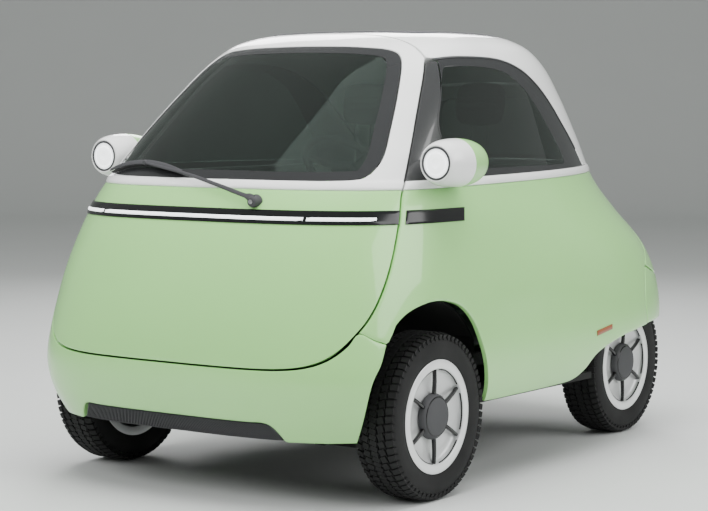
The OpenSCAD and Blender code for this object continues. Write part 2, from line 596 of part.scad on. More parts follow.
module knuckle(s) {
  translate([s * (front_half_track - king_x), front_axle_y, axle_z - king_top])
    cylinder(r = king_r, h = 2 * king_top, $fn = 48);
  for (k = [-1, 1]) translate([s * (front_half_track - king_x), front_axle_y,
    axle_z + (k > 0 ? king_top : -king_top - 24)]) cylinder(r = pin_r, h = 24, $fn = 48);
  translate([s > 0 ? front_half_track - king_x : -front_half_track - spindle_end, front_axle_y, axle_z])
    rotate([0, 90, 0]) cylinder(r = spindle_r, h = king_x + spindle_end, $fn = 64);
}
module knuckle_left() {
  color("gray") knuckle(1);
}
module knuckle_right() {
  color("gray") knuckle(-1);
}

flange = 14;
module tyre() {
  w = tyre_width / 2;
  rotate([0, 90, 0]) rotate_extrude($fn = 96) polygon([[bead_radius + 0.4, -w + 13],
    [bead_radius + flange, -w + 10], [bead_radius + 34, -w + 2], [bead_radius + 52, -w],
    [tyre_radius - 30, -w + 3], [tyre_radius - 9, -w + 10], [tyre_radius - 2, -w + 22],
    [tyre_radius, -w / 3], [tyre_radius, w / 3], [tyre_radius - 2, w - 22], [tyre_radius - 9, w - 10],
    [tyre_radius - 30, w - 3], [bead_radius + 52, w], [bead_radius + 34, w - 2],
    [bead_radius + flange, w - 10], [bead_radius + 0.4, w - 13]]);
}
disc_out = 42;
cap_r = 70;
spoke_w = 12;
module rim() {
  r = bead_radius;
  e = tyre_width / 2 - 10;
  rotate([0, 90, 0]) {
    rotate_extrude($fn = 96) polygon([[r - 16, -e], [r - 3, -e - 6], [r + 13, -e - 5], [r + 13, -e - 1],
      [r, -e - 1], [r, e + 1], [r + 13, e + 1], [r + 13, e + 4],
      [r - 8, e + 5], [r - 13, disc_out - 6], [cap_r - 8, disc_out - 12], [cap_r - 8, disc_out + 14],
      [spindle_r + 8, disc_out + 14], [spindle_r + 8, -hub_in], [cap_r - 16, -hub_in],
      [cap_r - 16, disc_out - 26], [r - 16, disc_out - 18]]);
    rotate_extrude($fn = 96) polygon([[spindle_r + run_gap, -hub_in], [spindle_r + 8, -hub_in],
      [spindle_r + 8, disc_out + 14], [0, disc_out + 14], [0, spindle_end + 2],
      [spindle_r + run_gap, spindle_end + 2]]);
    for (a = [0:60:300]) rotate([0, 0, a]) translate([cap_r - 14, -spoke_w / 2, disc_out - 14])
      cube([r - cap_r - 2, spoke_w, 20]);
  }
}
module wheel_at(s, y, track) {
  translate([s * track, y, axle_z]) rotate([0, 0, s > 0 ? 0 : 180]) children();
}
module tyre_front_left() {
  color("black") wheel_at(1, front_axle_y, front_half_track) tyre();
}
module tyre_front_right() {
  color("black") wheel_at(-1, front_axle_y, front_half_track) tyre();
}
module tyre_rear_left() {
  color("black") wheel_at(1, rear_axle_y, rear_half_track) tyre();
}
module tyre_rear_right() {
  color("black") wheel_at(-1, rear_axle_y, rear_half_track) tyre();
}
module rim_front_left() {
  color("white") wheel_at(1, front_axle_y, front_half_track) rim();
}
module rim_front_right() {
  color("white") wheel_at(-1, front_axle_y, front_half_track) rim();
}
module rim_rear_left() {
  color("white") wheel_at(1, rear_axle_y, rear_half_track) rim();
}
module rim_rear_right() {
  color("white") wheel_at(-1, rear_axle_y, rear_half_track) rim();
}

cushion_z = 400;
cushion_y = -370;
back_y = 20;
module seat_cushion() {
  color("gray") translate([-seat_width / 2, cushion_y * sy, cushion_z * sz])
    cube([seat_width, (back_y - cushion_y) * sy - 6, cushion_thickness]);
  base_z = (floor_z + floor_t) * sz + battery_h + touch;
  color("black") translate([-seat_width / 2 + 20, cushion_y * sy + 20, base_z])
    cube([seat_width - 40, (back_y - cushion_y) * sy - 46, cushion_z * sz - base_z - touch]);
}

back_lean = 8;
back_h = 560;
back_t = 110;
module seat_back() {
  color("gray") translate([-seat_width / 2, back_y * sy, cushion_z * sz]) rotate([-back_lean, 0, 0])
    cube([seat_width, back_t, back_h]);
  color("black") translate([-420, (back_y + 40) * sy, (floor_z + floor_t) * sz])
    cube([840, 60, cushion_z * sz - (floor_z + floor_t) * sz - 2]);
}

head_l = 860;
post_gap = 34;
module headrests() {
  for (s = [-1, 1]) translate([s * 252, back_y * sy, cushion_z * sz]) rotate([-back_lean, 0, 0]) {
    color("gray") translate([0, back_t / 2 + 40, head_l]) rotate([90, 0, 0])
      linear_extrude(height = 80) scale([1.17, 0.93]) circle(r = 90, $fn = 48);
    for (k = [-1, 1]) color("silver") translate([k * post_gap, back_t / 2, back_h + touch])
      cylinder(r = 6, h = head_l - back_h - 76, $fn = 24);
  }
}

wheel_pos = [262, -640, 1025];
column_tilt = 45;
column_l = 60;
module on_column() {
  translate([wheel_pos[0] * sx, wheel_pos[1] * sy, wheel_pos[2] * sz]) rotate([-column_tilt, 0, 0])
    children();
}
module dash_mount() {
  low = side_pts([[-790, 905], [-700, 905]]);
  top = side_pts([[-790, 955], [-700, 955]]);
  panel(low, top, [low[0], top[0]], [low[1], top[1]], 1, 2, wall_thickness + 0.8, 150);
}
module dashboard() {
  color("black") {
    scale(body_scale) {
      translate([120, -815, 905]) cube([420, 135, 60]);
      translate([150, -813, 965]) cube([80, 50, 50]);
    }
    dash_mount();
    on_column() translate([0, 0, -150]) cylinder(r = 30, h = 150 - column_l - touch, $fn = 48);
  }
}
module steering_wheel() {
  color("black") on_column() {
    rotate_extrude($fn = 64) translate([steering_radius - 12, 0]) circle(r = 12, $fn = 32);
    translate([0, 0, -20]) cylinder(r = 42, h = 30, $fn = 48);
    for (a = [90, 210, 330]) rotate([0, 0, a]) translate([38, -14, -6]) cube([steering_radius - 56, 28, 10]);
    translate([0, 0, -column_l]) cylinder(r = 16, h = column_l - 20, $fn = 48);
  }
}

front_door_panel();
front_door_frame();
windscreen();
front_light_bar();
wiper();
front_bumper();
grille();
side_panel_left();
side_panel_right();
roof();
sunroof();
side_window_left();
side_window_right();
quarter_panel_left();
quarter_panel_right();
mirror_pod_left();
mirror_pod_right();
tailgate_panel();
tailgate_frame();
rear_window();
rear_light_bar();
rear_bumper();
side_markers();
floor_pan();
front_tub();
rear_deck();
battery_pack();
motor_unit();
front_crossmember();
rear_axle();
knuckle_left();
knuckle_right();
tyre_front_left();
tyre_front_right();
tyre_rear_left();
tyre_rear_right();
rim_front_left();
rim_front_right();
rim_rear_left();
rim_rear_right();
seat_cushion();
seat_back();
headrests();
dashboard();
steering_wheel();
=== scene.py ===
"""Look of a two-seat electric microcar whose whole front opens as a door.

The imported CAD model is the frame. Each class below builds one sub-assembly on it, in metres.
"""

import logging
import math
from dataclasses import dataclass
from enum import Enum
from typing import Callable, Sequence

import bmesh
import bpy
import numpy as np
from mathutils import Matrix, Vector


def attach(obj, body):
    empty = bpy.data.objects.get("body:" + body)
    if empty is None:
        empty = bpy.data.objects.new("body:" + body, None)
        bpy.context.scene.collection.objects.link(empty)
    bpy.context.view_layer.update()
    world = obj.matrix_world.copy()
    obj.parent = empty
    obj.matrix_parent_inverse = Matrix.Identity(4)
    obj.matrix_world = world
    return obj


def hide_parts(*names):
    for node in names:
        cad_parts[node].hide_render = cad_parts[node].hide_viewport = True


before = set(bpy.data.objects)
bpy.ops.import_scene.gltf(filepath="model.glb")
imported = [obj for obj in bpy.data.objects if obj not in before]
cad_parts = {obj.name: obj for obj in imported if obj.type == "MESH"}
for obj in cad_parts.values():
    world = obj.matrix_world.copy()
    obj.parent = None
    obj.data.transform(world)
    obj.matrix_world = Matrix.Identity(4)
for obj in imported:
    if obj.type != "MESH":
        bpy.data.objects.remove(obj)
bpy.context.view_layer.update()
MM = 0.001
LOG = logging.getLogger("microcar")
Points = Sequence[Sequence[float]]


class Body(Enum):
    """The rigid bodies that pieces ride on."""

    CAR = "car_body"
    DOOR = "front_door"
    TAIL = "tailgate"
    STEERING = "steering"


class Kind(Enum):
    """How a finish takes its surface detail."""

    PAINT = "paint"
    PLASTIC = "plastic"
    METAL = "metal"
    FABRIC = "fabric"
    RUBBER = "rubber"
    GLASS = "glass"
    LAMP = "lamp"


# ---------------------------------------------------------------- finishes


@dataclass(frozen=True)
class Finish:
    """One finish: its colour, its gloss and the scale of its surface detail."""

    name: str
    kind: Kind
    colour: tuple[float, float, float]
    roughness: float = 0.4
    second: tuple[float, float, float] | None = None
    scale: float = 40.0
    bump: float = 0.02
    metallic: float = 0.0
    glow: float = 0.0
    mix: float = 0.5

    def _mixed_colour(self, tree: bpy.types.NodeTree, coord: bpy.types.NodeSocket,
                      shader: bpy.types.Node) -> None:
        """Mix two close colours by noise into the base colour.

        Args:
            tree: the material's node tree.
            coord: the coordinate socket to read.
            shader: the shader whose base colour is driven.
        """
        noise = tree.nodes.new("ShaderNodeTexNoise")
        noise.inputs["Scale"].default_value = self.scale
        noise.inputs["Detail"].default_value = 4.0
        ramp = tree.nodes.new("ShaderNodeValToRGB")
        other = self.second or tuple(c * 0.93 for c in self.colour)
        ramp.color_ramp.elements[0].position = 0.5 - self.mix / 2
        ramp.color_ramp.elements[1].position = 0.5 + self.mix / 2
        ramp.color_ramp.elements[0].color = (*other, 1)
        ramp.color_ramp.elements[1].color = (*self.colour, 1)
        tree.links.new(coord, noise.inputs["Vector"])
        tree.links.new(noise.outputs["Fac"], ramp.inputs["Fac"])
        tree.links.new(ramp.outputs["Color"], shader.inputs["Base Color"])

    def _bumped(self, tree: bpy.types.NodeTree, coord: bpy.types.NodeSocket,
                shader: bpy.types.Node) -> None:
        """Give the surface its fine relief: weave, grain or orange peel.

        Args:
            tree: the material's node tree.
            coord: the coordinate socket to read.
            shader: the shader whose normal is driven.
        """
        bump = tree.nodes.new("ShaderNodeBump")
        bump.inputs["Strength"].default_value = min(1.0, self.bump * 10)
        bump.inputs["Distance"].default_value = self.bump * 0.02
        if self.kind is Kind.FABRIC:
            height = self._weave(tree, coord)
        else:
            noise = tree.nodes.new("ShaderNodeTexNoise")
            noise.inputs["Scale"].default_value = self.scale * 12
            noise.inputs["Detail"].default_value = 3.0
            tree.links.new(coord, noise.inputs["Vector"])
            height = noise.outputs["Fac"]
        tree.links.new(height, bump.inputs["Height"])
        tree.links.new(bump.outputs["Normal"], shader.inputs["Normal"])

    def _weave(self, tree: bpy.types.NodeTree, coord: bpy.types.NodeSocket) -> bpy.types.NodeSocket:
        """Two crossed bands of thread.

        Args:
            tree: the material's node tree.
            coord: the coordinate socket to read.

        Returns:
            The height socket of the weave.
        """
        waves = []
        for direction in ("X", "Z"):
            wave = tree.nodes.new("ShaderNodeTexWave")
            wave.bands_direction = direction
            wave.inputs["Scale"].default_value = 160.0
            wave.inputs["Distortion"].default_value = 0.8
            tree.links.new(coord, wave.inputs["Vector"])
            waves.append(wave)
        top = tree.nodes.new("ShaderNodeMath")
        top.operation = "MAXIMUM"
        tree.links.new(waves[0].outputs["Fac"], top.inputs[0])
        tree.links.new(waves[1].outputs["Fac"], top.inputs[1])
        return top.outputs[0]

    def _worn(self, tree: bpy.types.NodeTree, coord: bpy.types.NodeSocket,
              shader: bpy.types.Node) -> None:
        """Vary the roughness in soft patches, as handling and weather do.

        Args:
            tree: the material's node tree.
            coord: the coordinate socket to read.
            shader: the shader whose roughness is driven.
        """
        noise = tree.nodes.new("ShaderNodeTexNoise")
        noise.inputs["Scale"].default_value = self.scale * 0.3
        spread = tree.nodes.new("ShaderNodeMapRange")
        spread.inputs["To Min"].default_value = self.roughness * 0.85
        spread.inputs["To Max"].default_value = min(1.0, self.roughness * 1.2)
        tree.links.new(coord, noise.inputs["Vector"])
        tree.links.new(noise.outputs["Fac"], spread.inputs["Value"])
        tree.links.new(spread.outputs["Result"], shader.inputs["Roughness"])

    def material(self) -> bpy.types.Material:
        """Build the material once and hand it out after that.

        Returns:
            The Blender material of this finish.
        """
        found = bpy.data.materials.get(self.name)
        if found:
            return found
        made = bpy.data.materials.new(self.name)
        made.use_nodes = True
        tree = made.node_tree
        shader = tree.nodes["Principled BSDF"]
        coord = tree.nodes.new("ShaderNodeTexCoord").outputs["Object"]
        shader.inputs["Metallic"].default_value = self.metallic
        shader.inputs["Roughness"].default_value = self.roughness
        self._mixed_colour(tree, coord, shader)
        if self.bump > 0:
            self._bumped(tree, coord, shader)
        self._worn(tree, coord, shader)
        if self.kind is Kind.PAINT:
            shader.inputs["Coat Weight"].default_value = 0.9
            shader.inputs["Coat Roughness"].default_value = 0.05
        if self.kind is Kind.FABRIC:
            shader.inputs["Sheen Weight"].default_value = 0.25
            shader.inputs["Sheen Roughness"].default_value = 0.4
        if self.kind is Kind.GLASS:
            shader.inputs["Transmission Weight"].default_value = 0.96
            shader.inputs["IOR"].default_value = 1.45
            shader.inputs["Specular IOR Level"].default_value = 0.3
        if self.kind is Kind.LAMP:
            shader.inputs["Emission Color"].default_value = (*self.colour, 1)
            shader.inputs["Emission Strength"].default_value = self.glow
        made.diffuse_color = (*self.colour, 1)
        return made


class Finishes:
    """Every finish of the car."""

    GREEN = Finish("mint_paint", Kind.PAINT, (0.315, 0.665, 0.215), 0.36, (0.303, 0.650, 0.206), 3.0, 0.002)
    WHITE = Finish("white_paint", Kind.PAINT, (0.90, 0.905, 0.90), 0.32, (0.80, 0.81, 0.80), 3.0, 0.002)
    GLASS = Finish("tinted_glass", Kind.GLASS, (0.13, 0.17, 0.15), 0.02, (0.12, 0.16, 0.14), 2.0, 0.0)
    FRIT = Finish("glass_border", Kind.PLASTIC, (0.022, 0.023, 0.024), 0.24, None, 25.0, 0.002)
    GLOSS = Finish("gloss_black", Kind.PLASTIC, (0.005, 0.0055, 0.006), 0.16, None, 20.0, 0.002)
    PILLAR = Finish("pillar_grey", Kind.PAINT, (0.028, 0.029, 0.030), 0.22, None, 10.0, 0.002)
    LIP = Finish("rail_grey", Kind.PLASTIC, (0.050, 0.052, 0.054), 0.30, None, 30.0, 0.004)
    BLACK = Finish("matt_black", Kind.PLASTIC, (0.007, 0.007, 0.0075), 0.55, None, 60.0, 0.02)
    SEAL = Finish("rubber_seal", Kind.RUBBER, (0.006, 0.006, 0.006), 0.7, None, 60.0, 0.02)
    TYRE = Finish("tyre_rubber", Kind.RUBBER, (0.0075, 0.0075, 0.0078), 0.8, (0.005, 0.005, 0.005), 30.0, 0.03)
    RIM = Finish("rim_paint", Kind.PAINT, (0.80, 0.81, 0.81), 0.35, None, 12.0, 0.003, 0.25)
    DISC = Finish("wheel_disc", Kind.PAINT, (0.68, 0.69, 0.69), 0.42, None, 12.0, 0.003, 0.4)
    STEEL = Finish("steel", Kind.METAL, (0.45, 0.45, 0.46), 0.35, None, 30.0, 0.01, 0.9)
    CHROME = Finish("chrome", Kind.METAL, (0.78, 0.79, 0.80), 0.10, None, 10.0, 0.001, 1.0)
    IRON = Finish("dark_iron", Kind.METAL, (0.014, 0.014, 0.015), 0.7, (0.020, 0.018, 0.017), 18.0, 0.03, 0.5)
    UNDER = Finish("underseal", Kind.PLASTIC, (0.008, 0.008, 0.008), 0.85, None, 25.0, 0.08)
    CASE = Finish("cast_case", Kind.METAL, (0.33, 0.34, 0.35), 0.5, None, 30.0, 0.03, 0.7)
    CARPET = Finish("floor_carpet", Kind.FABRIC, (0.040, 0.040, 0.042), 0.95, None, 50.0, 0.04)
    GRIP = Finish("grip_leather", Kind.RUBBER, (0.020, 0.020, 0.021), 0.55, None, 70.0, 0.03)
    DASH = Finish("dash_skin", Kind.PLASTIC, (0.026, 0.027, 0.028), 0.6, None, 90.0, 0.03)
    SEAT = Finish("seat_cloth", Kind.FABRIC, (0.060, 0.062, 0.066), 0.85, (0.045, 0.047, 0.050), 60.0, 0.03)
    SIDE = Finish("seat_side", Kind.FABRIC, (0.028, 0.029, 0.031), 0.9, None, 60.0, 0.03)
    TOP = Finish("soft_top", Kind.FABRIC, (0.030, 0.030, 0.032), 0.92, None, 40.0, 0.03)
    LED = Finish("led_strip", Kind.LAMP, (0.94, 0.97, 0.98), 0.3, None, 20.0, 0.001, 0.0, 1.6)
    RED = Finish("red_lens", Kind.PLASTIC, (0.30, 0.012, 0.012), 0.12, None, 30.0, 0.004)
    AMBER = Finish("amber_reflector", Kind.PLASTIC, (0.28, 0.085, 0.035), 0.2, None, 200.0, 0.02)
    PLATE = Finish("blank_plate", Kind.PAINT, (0.70, 0.70, 0.66), 0.4, None, 20.0, 0.004)


# ---------------------------------------------------------------- body surface


class BodySurface:
    """The smooth outer surface of the body, swept through stacked sections.

    Sections hold height, front y, rear y, half width, y of greatest width, and the
    fullness of the front and the rear, all in millimetres.
    """

    RINGS = np.array([
        (212, -1206, 1060, 646, -760, 3.2, 3.6), (300, -1240, 1150, 692, -780, 3.1, 3.9),
        (400, -1258, 1235, 706, -800, 3.0, 4.2), (540, -1244, 1259, 702, -790, 2.8, 4.0),
        (700, -1197, 1236, 696, -730, 2.8, 3.3), (850, -1132, 1115, 672, -650, 2.9, 2.65),
        (975, -1050, 1000, 636, -560, 3.1, 2.4), (1120, -915, 905, 592, -440, 3.1, 2.35),
        (1270, -752, 785, 545, -300, 3.1, 2.3), (1390, -605, 640, 500, -180, 3.1, 2.3),
        (1458, -485, 465, 446, -90, 3.0, 2.3), (1488, -330, 280, 330, -40, 2.6, 2.2),
        (1497, -20, -20, 0, -20, 2.2, 2.2)], float)
    LAST = 12
    FLARE = (32.0, -860.0, 400.0, 350.0, 270.0)

    def __init__(self) -> None:
        """Tabulate height against level."""
        self.ts = np.linspace(0, self.LAST, 481)
        self.zs = self.rings(self.ts)[..., 0]

    def rings(self, t: np.ndarray) -> np.ndarray:
        """Sections at levels t, on a smooth curve through the table.

        Args:
            t: levels from 0 to LAST.

        Returns:
            An array with seven section values last.
        """
        p = np.vstack([2 * self.RINGS[0] - self.RINGS[1], self.RINGS, 2 * self.RINGS[-1] - self.RINGS[-2]])
        t = np.clip(t, 0, self.LAST)
        i = np.minimum(t.astype(int), self.LAST - 1)
        f = (t - i)[..., None]
        a, b, c, d = p[i], p[i + 1], p[i + 2], p[i + 3]
        return 0.5 * (2 * b + (c - a) * f + (2 * a - 5 * b + 4 * c - d) * f ** 2 + (3 * b - a - 3 * c + d) * f ** 3)

    def level(self, z: np.ndarray) -> np.ndarray:
        """Level of a height.

        Args:
            z: heights in mm.

        Returns:
            The levels.
        """
        return np.interp(z, self.zs, self.ts)

    def point(self, u: np.ndarray, t: np.ndarray) -> np.ndarray:
        """Points of the surface.

        Args:
            u: angles round the car in degrees, 0 front, 90 left, 180 rear.
            t: levels.

        Returns:
            Points in mm, last axis x, y, z.
        """
        r = self.rings(t)
        s, c = np.sin(np.radians(u)), np.cos(np.radians(u))
        n = np.where(c > 0, r[..., 5], r[..., 6])
        d = np.abs(c) ** (2 / n)
        y = np.where(c > 0, r[..., 4] - (r[..., 4] - r[..., 1]) * d, r[..., 4] + (r[..., 2] - r[..., 4]) * d)
        g = self.FLARE[0] * np.exp(-((y - self.FLARE[1]) / self.FLARE[3]) ** 2
                                   - ((r[..., 0] - self.FLARE[2]) / self.FLARE[4]) ** 2) * np.abs(s)
        x = np.sign(s) * (r[..., 3] * np.abs(s) ** (2 / n) + g)
        return np.stack([x, y, r[..., 0]], -1)

    def normal(self, u: np.ndarray, t: np.ndarray) -> np.ndarray:
        """Outward unit normals.

        Args:
            u: angles in degrees.
            t: levels.

        Returns:
            Unit vectors.
        """
        a = self.point(u + 0.4, t) - self.point(u - 0.4, t)
        b = self.point(u, np.minimum(t + 0.02, self.LAST)) - self.point(u, t - 0.02)
        n = np.cross(a, b)
        return n / np.maximum(np.linalg.norm(n, axis=-1, keepdims=True), 1e-9)

    def front(self, xz: Points) -> np.ndarray:
        """[u, t] of front points given as x and z.

        Args:
            xz: pairs of x and z in mm.

        Returns:
            Pairs of angle and level.
        """
        p = np.asarray(xz, float)
        t = self.level(p[..., 1])
        r = self.rings(t)
        k = np.minimum(1, (np.abs(p[..., 0]) / r[..., 3]) ** (r[..., 5] / 2))
        return np.stack([np.sign(p[..., 0]) * np.degrees(np.arcsin(k)), t], -1)

    def rear(self, xz: Points) -> np.ndarray:
        """[u, t] of rear points given as x and z.

        Args:
            xz: pairs of x and z in mm.

        Returns:
            Pairs of angle and level.
        """
        p = np.asarray(xz, float)
        t = self.level(p[..., 1])
        r = self.rings(t)
        k = np.minimum(1, (np.abs(p[..., 0]) / r[..., 3]) ** (r[..., 6] / 2))
        return np.stack([180 - np.sign(p[..., 0]) * np.degrees(np.arcsin(k)), t], -1)

    def side(self, yz: Points) -> np.ndarray:
        """[u, t] of points on the car's left given as y and z.

        Args:
            yz: pairs of y and z in mm.

        Returns:
            Pairs of angle and level.
        """
        p = np.asarray(yz, float)
        t = self.level(p[..., 1])
        r = self.rings(t)
        y = p[..., 0]
        ahead = y < r[..., 4]
        forward = (r[..., 4] - y) / (r[..., 4] - r[..., 1])
        behind = (y - r[..., 4]) / (r[..., 2] - r[..., 4])
        f = np.clip(np.where(ahead, forward, behind), 0, 1)
        k = np.degrees(np.arccos(np.minimum(1, f ** (np.where(ahead, r[..., 5], r[..., 6]) / 2))))
        return np.stack([np.where(ahead, k, 180 - k), t], -1)

    def roof(self, xy: Points) -> np.ndarray:
        """[u, t] of roof points given as x and y.

        Args:
            xy: pairs of x and y in mm.

        Returns:
            Pairs of angle and level.
        """
        p = np.asarray(xy, float)
        lo, hi = np.full(p.shape[:-1], 5.0), np.full(p.shape[:-1], 11.99)
        for _ in range(26):
            t = (lo + hi) / 2
            r = self.rings(t)
            ahead = p[..., 1] < r[..., 4]
            n = np.where(ahead, r[..., 5], r[..., 6])
            long = np.where(ahead, r[..., 4] - r[..., 1], r[..., 2] - r[..., 4])
            out = (np.abs(p[..., 0]) / r[..., 3]) ** n + (np.abs(p[..., 1] - r[..., 4]) / long) ** n > 1
            hi, lo = np.where(out, t, hi), np.where(out, lo, t)
        t = (lo + hi) / 2
        u = self.side(np.stack([p[..., 1], self.rings(t)[..., 0]], -1))[..., 0]
        return np.stack([np.where(p[..., 0] < 0, -u, u), t], -1)


SKIN = BodySurface()


def smooth(points: Points, f: np.ndarray) -> np.ndarray:
    """Points on a smooth curve through a list, by fraction of its index.

    Args:
        points: the list to pass through.
        f: fractions from 0 to 1.

    Returns:
        The points at those fractions.
    """
    q = np.asarray(points, float)
    if len(q) == 2:
        return q[0] + (q[1] - q[0]) * np.asarray(f)[..., None]
    p = np.vstack([2 * q[0] - q[1], q, 2 * q[-1] - q[-2]])
    s = np.clip(np.asarray(f, float) * (len(q) - 1), 0, len(q) - 1)
    i = np.minimum(s.astype(int), len(q) - 2)
    g = (s - i)[..., None]
    a, b, c, d = p[i], p[i + 1], p[i + 2], p[i + 3]
    return 0.5 * (2 * b + (c - a) * g + (2 * a - 5 * b + 4 * c - d) * g ** 2 + (3 * b - a - 3 * c + d) * g ** 3)


def coons(low: Points, top: Points, left: Points, right: Points, a: np.ndarray, b: np.ndarray) -> np.ndarray:
    """Blend a patch between four edges.

    Args:
        low, top, left, right: the edges as lists of points.
        a: fractions upwards, b: fractions along.

    Returns:
        A grid of points with a first and b second.
    """
    aa, bb = a[:, None, None], b[None, :, None]
    lo, hi, le, ri = smooth(low, b)[None], smooth(top, b)[None], smooth(left, a)[:, None], smooth(right, a)[:, None]
    c00, c01, c10, c11 = lo[:, :1], lo[:, -1:], hi[:, :1], hi[:, -1:]
    flat = (1 - aa) * ((1 - bb) * c00 + bb * c01) + aa * ((1 - bb) * c10 + bb * c11)
    return (1 - aa) * lo + aa * hi + (1 - bb) * le + bb * ri - flat


def roll(grid: np.ndarray, radius: float, closed: bool) -> np.ndarray:
    """Depth of each grid point below the surface, so that the edges roll over.

    Args:
        grid: points in mm with rows first.
        radius: radius of the rolled edge in mm.
        closed: whether the columns run right round.

    Returns:
        Depths in mm.
    """
    def run(g: np.ndarray) -> np.ndarray:
        """Length along the first axis from its start."""
        seg = np.linalg.norm(np.diff(g, axis=0), axis=-1)
        return np.concatenate([np.zeros((1,) + seg.shape[1:]), np.cumsum(seg, 0)], 0)

    up = run(grid)
    d = np.minimum(up, up[-1:] - up)
    if not closed:
        along = run(grid.transpose(1, 0, 2)).T
        d = np.minimum(d, np.minimum(along, along[:, -1:] - along))
    k = np.clip(d / radius, 0, 1)
    return radius * (1 - np.sqrt(np.maximum(0, 1 - (1 - k) ** 2)))


def mesh_object(name: str, verts: np.ndarray, faces: list, finish: Finish, sharp: float = 40.0) -> bpy.types.Object:
    """A mesh object from vertices in millimetres.

    Args:
        name: the object's name.
        verts: vertices in mm.
        faces: lists of indices.
        finish: the finish to wear.
        sharp: angle in degrees above which an edge stays sharp.

    Returns:
        The new object, linked to the scene.
    """
    mesh = bpy.data.meshes.new(name)
    mesh.from_pydata((np.asarray(verts).reshape(-1, 3) * MM).tolist(), [], faces)
    mesh.polygons.foreach_set("use_smooth", [True] * len(mesh.polygons))
    mesh.set_sharp_from_angle(angle=math.radians(sharp))
    made = bpy.data.objects.new(name, mesh)
    bpy.context.scene.collection.objects.link(made)
    mesh.materials.append(finish.material())
    return made


def grid_faces(m: int, n: int, start: int = 0, wrap: bool = False, back: bool = False) -> list[list[int]]:
    """Quads of a grid with m + 1 rows.

    Args:
        m: rows of quads.
        n: columns of quads.
        start: index of the first vertex.
        wrap: whether the last column joins the first.
        back: whether the faces turn the other way.

    Returns:
        Lists of four indices.
    """
    w = n if wrap else n + 1
    out = []
    for i in range(m):
        for j in range(n):
            k = (j + 1) % w if wrap else j + 1
            q = [start + i * w + j, start + i * w + k, start + (i + 1) * w + k, start + (i + 1) * w + j]
            out.append(q[::-1] if back else q)
    return out


def shell_from(name: str, uv: np.ndarray, deep: tuple[float, float], finish: Finish, radius: float = 3.0,
               closed: bool = False, flip: bool = False, bulge: Callable | None = None) -> bpy.types.Object:
    """A closed shell on the body surface from a grid of angles and levels.

    Args:
        name: the object's name.
        uv: grid of angle and level, rows first.
        deep: depth of the outer and the inner face in mm, negative outwards.
        finish: the finish to wear.
        radius: radius of the rolled outer edge.
        closed: whether the columns run right round.
        flip: whether the grid runs the other way round.
        bulge: extra outward distance as a function of the points.

    Returns:
        The new object.
    """
    base = SKIN.point(uv[..., 0], uv[..., 1])
    normal = SKIN.normal(uv[..., 0], uv[..., 1])
    ring = np.concatenate([base, base[:, :1]], 1) if closed else base
    down = roll(ring, radius, closed)
    down = down[:, :-1] if closed else down
    lift = bulge(base) if bulge else 0.0
    outer = base - (deep[0] + down - lift)[..., None] * normal
    inner = base - np.asarray(deep[1])[..., None] * normal
    m, n = uv.shape[0] - 1, uv.shape[1] - (0 if closed else 1)
    w = n if closed else n + 1
    k = (m + 1) * w
    faces = grid_faces(m, n, 0, closed) + grid_faces(m, n, k, closed, True)
    for j in range(n):
        a, b = j, (j + 1) % w
        faces.append([b, a, k + a, k + b])
        a, b = m * w + a, m * w + b
        faces.append([a, b, k + b, k + a])
    if not closed:
        for i in range(m):
            a, b = i * w, (i + 1) * w
            faces.append([a, b, k + b, k + a])
            a, b = a + n, b + n
            faces.append([b, a, k + a, k + b])
    if flip:
        faces = [f[::-1] for f in faces]
    return mesh_object(name, np.concatenate([outer.reshape(-1, 3), inner.reshape(-1, 3)]), faces, finish)


def mirror_copy(obj: bpy.types.Object, name: str) -> bpy.types.Object:
    """The same piece on the car's other side.

    Args:
        obj: the piece on the left.
        name: the new piece's name.

    Returns:
        The mirrored object, its faces still outwards.
    """
    mesh = obj.data.copy()
    mesh.transform(Matrix.Scale(-1, 4, (1, 0, 0)))
    mesh.flip_normals()
    made = bpy.data.objects.new(name, mesh)
    bpy.context.scene.collection.objects.link(made)
    return made


def settle(obj: bpy.types.Object, body: Body | str, slot: str, *nodes: str) -> bpy.types.Object:
    """Ride a piece on its body and hide what it stands for.

    Args:
        obj: the piece.
        body: the body it moves with.
        slot: the name of a material slot; not used.
        nodes: CAD nodes that it replaces.

    Returns:
        The same piece.
    """
    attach(obj, body.value if isinstance(body, Body) else body)
    if nodes:
        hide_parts(*nodes)
    LOG.info("%s rides on %s, %d faces", obj.name, body, len(obj.data.polygons))
    return obj


# ---------------------------------------------------------------- seams and edges


def spline_table(points: Points, key: int, n: int = 400) -> tuple[np.ndarray, np.ndarray]:
    """A smooth list tabulated against one of its coordinates.

    Args:
        points: pairs that rise in coordinate key.
        key: the coordinate to look up by.
        n: number of samples.

    Returns:
        Rising keys and the other coordinate at them.
    """
    p = smooth(points, np.linspace(0, 1, n))
    order = np.argsort(p[:, key])
    return p[order, key], p[order, 1 - key]


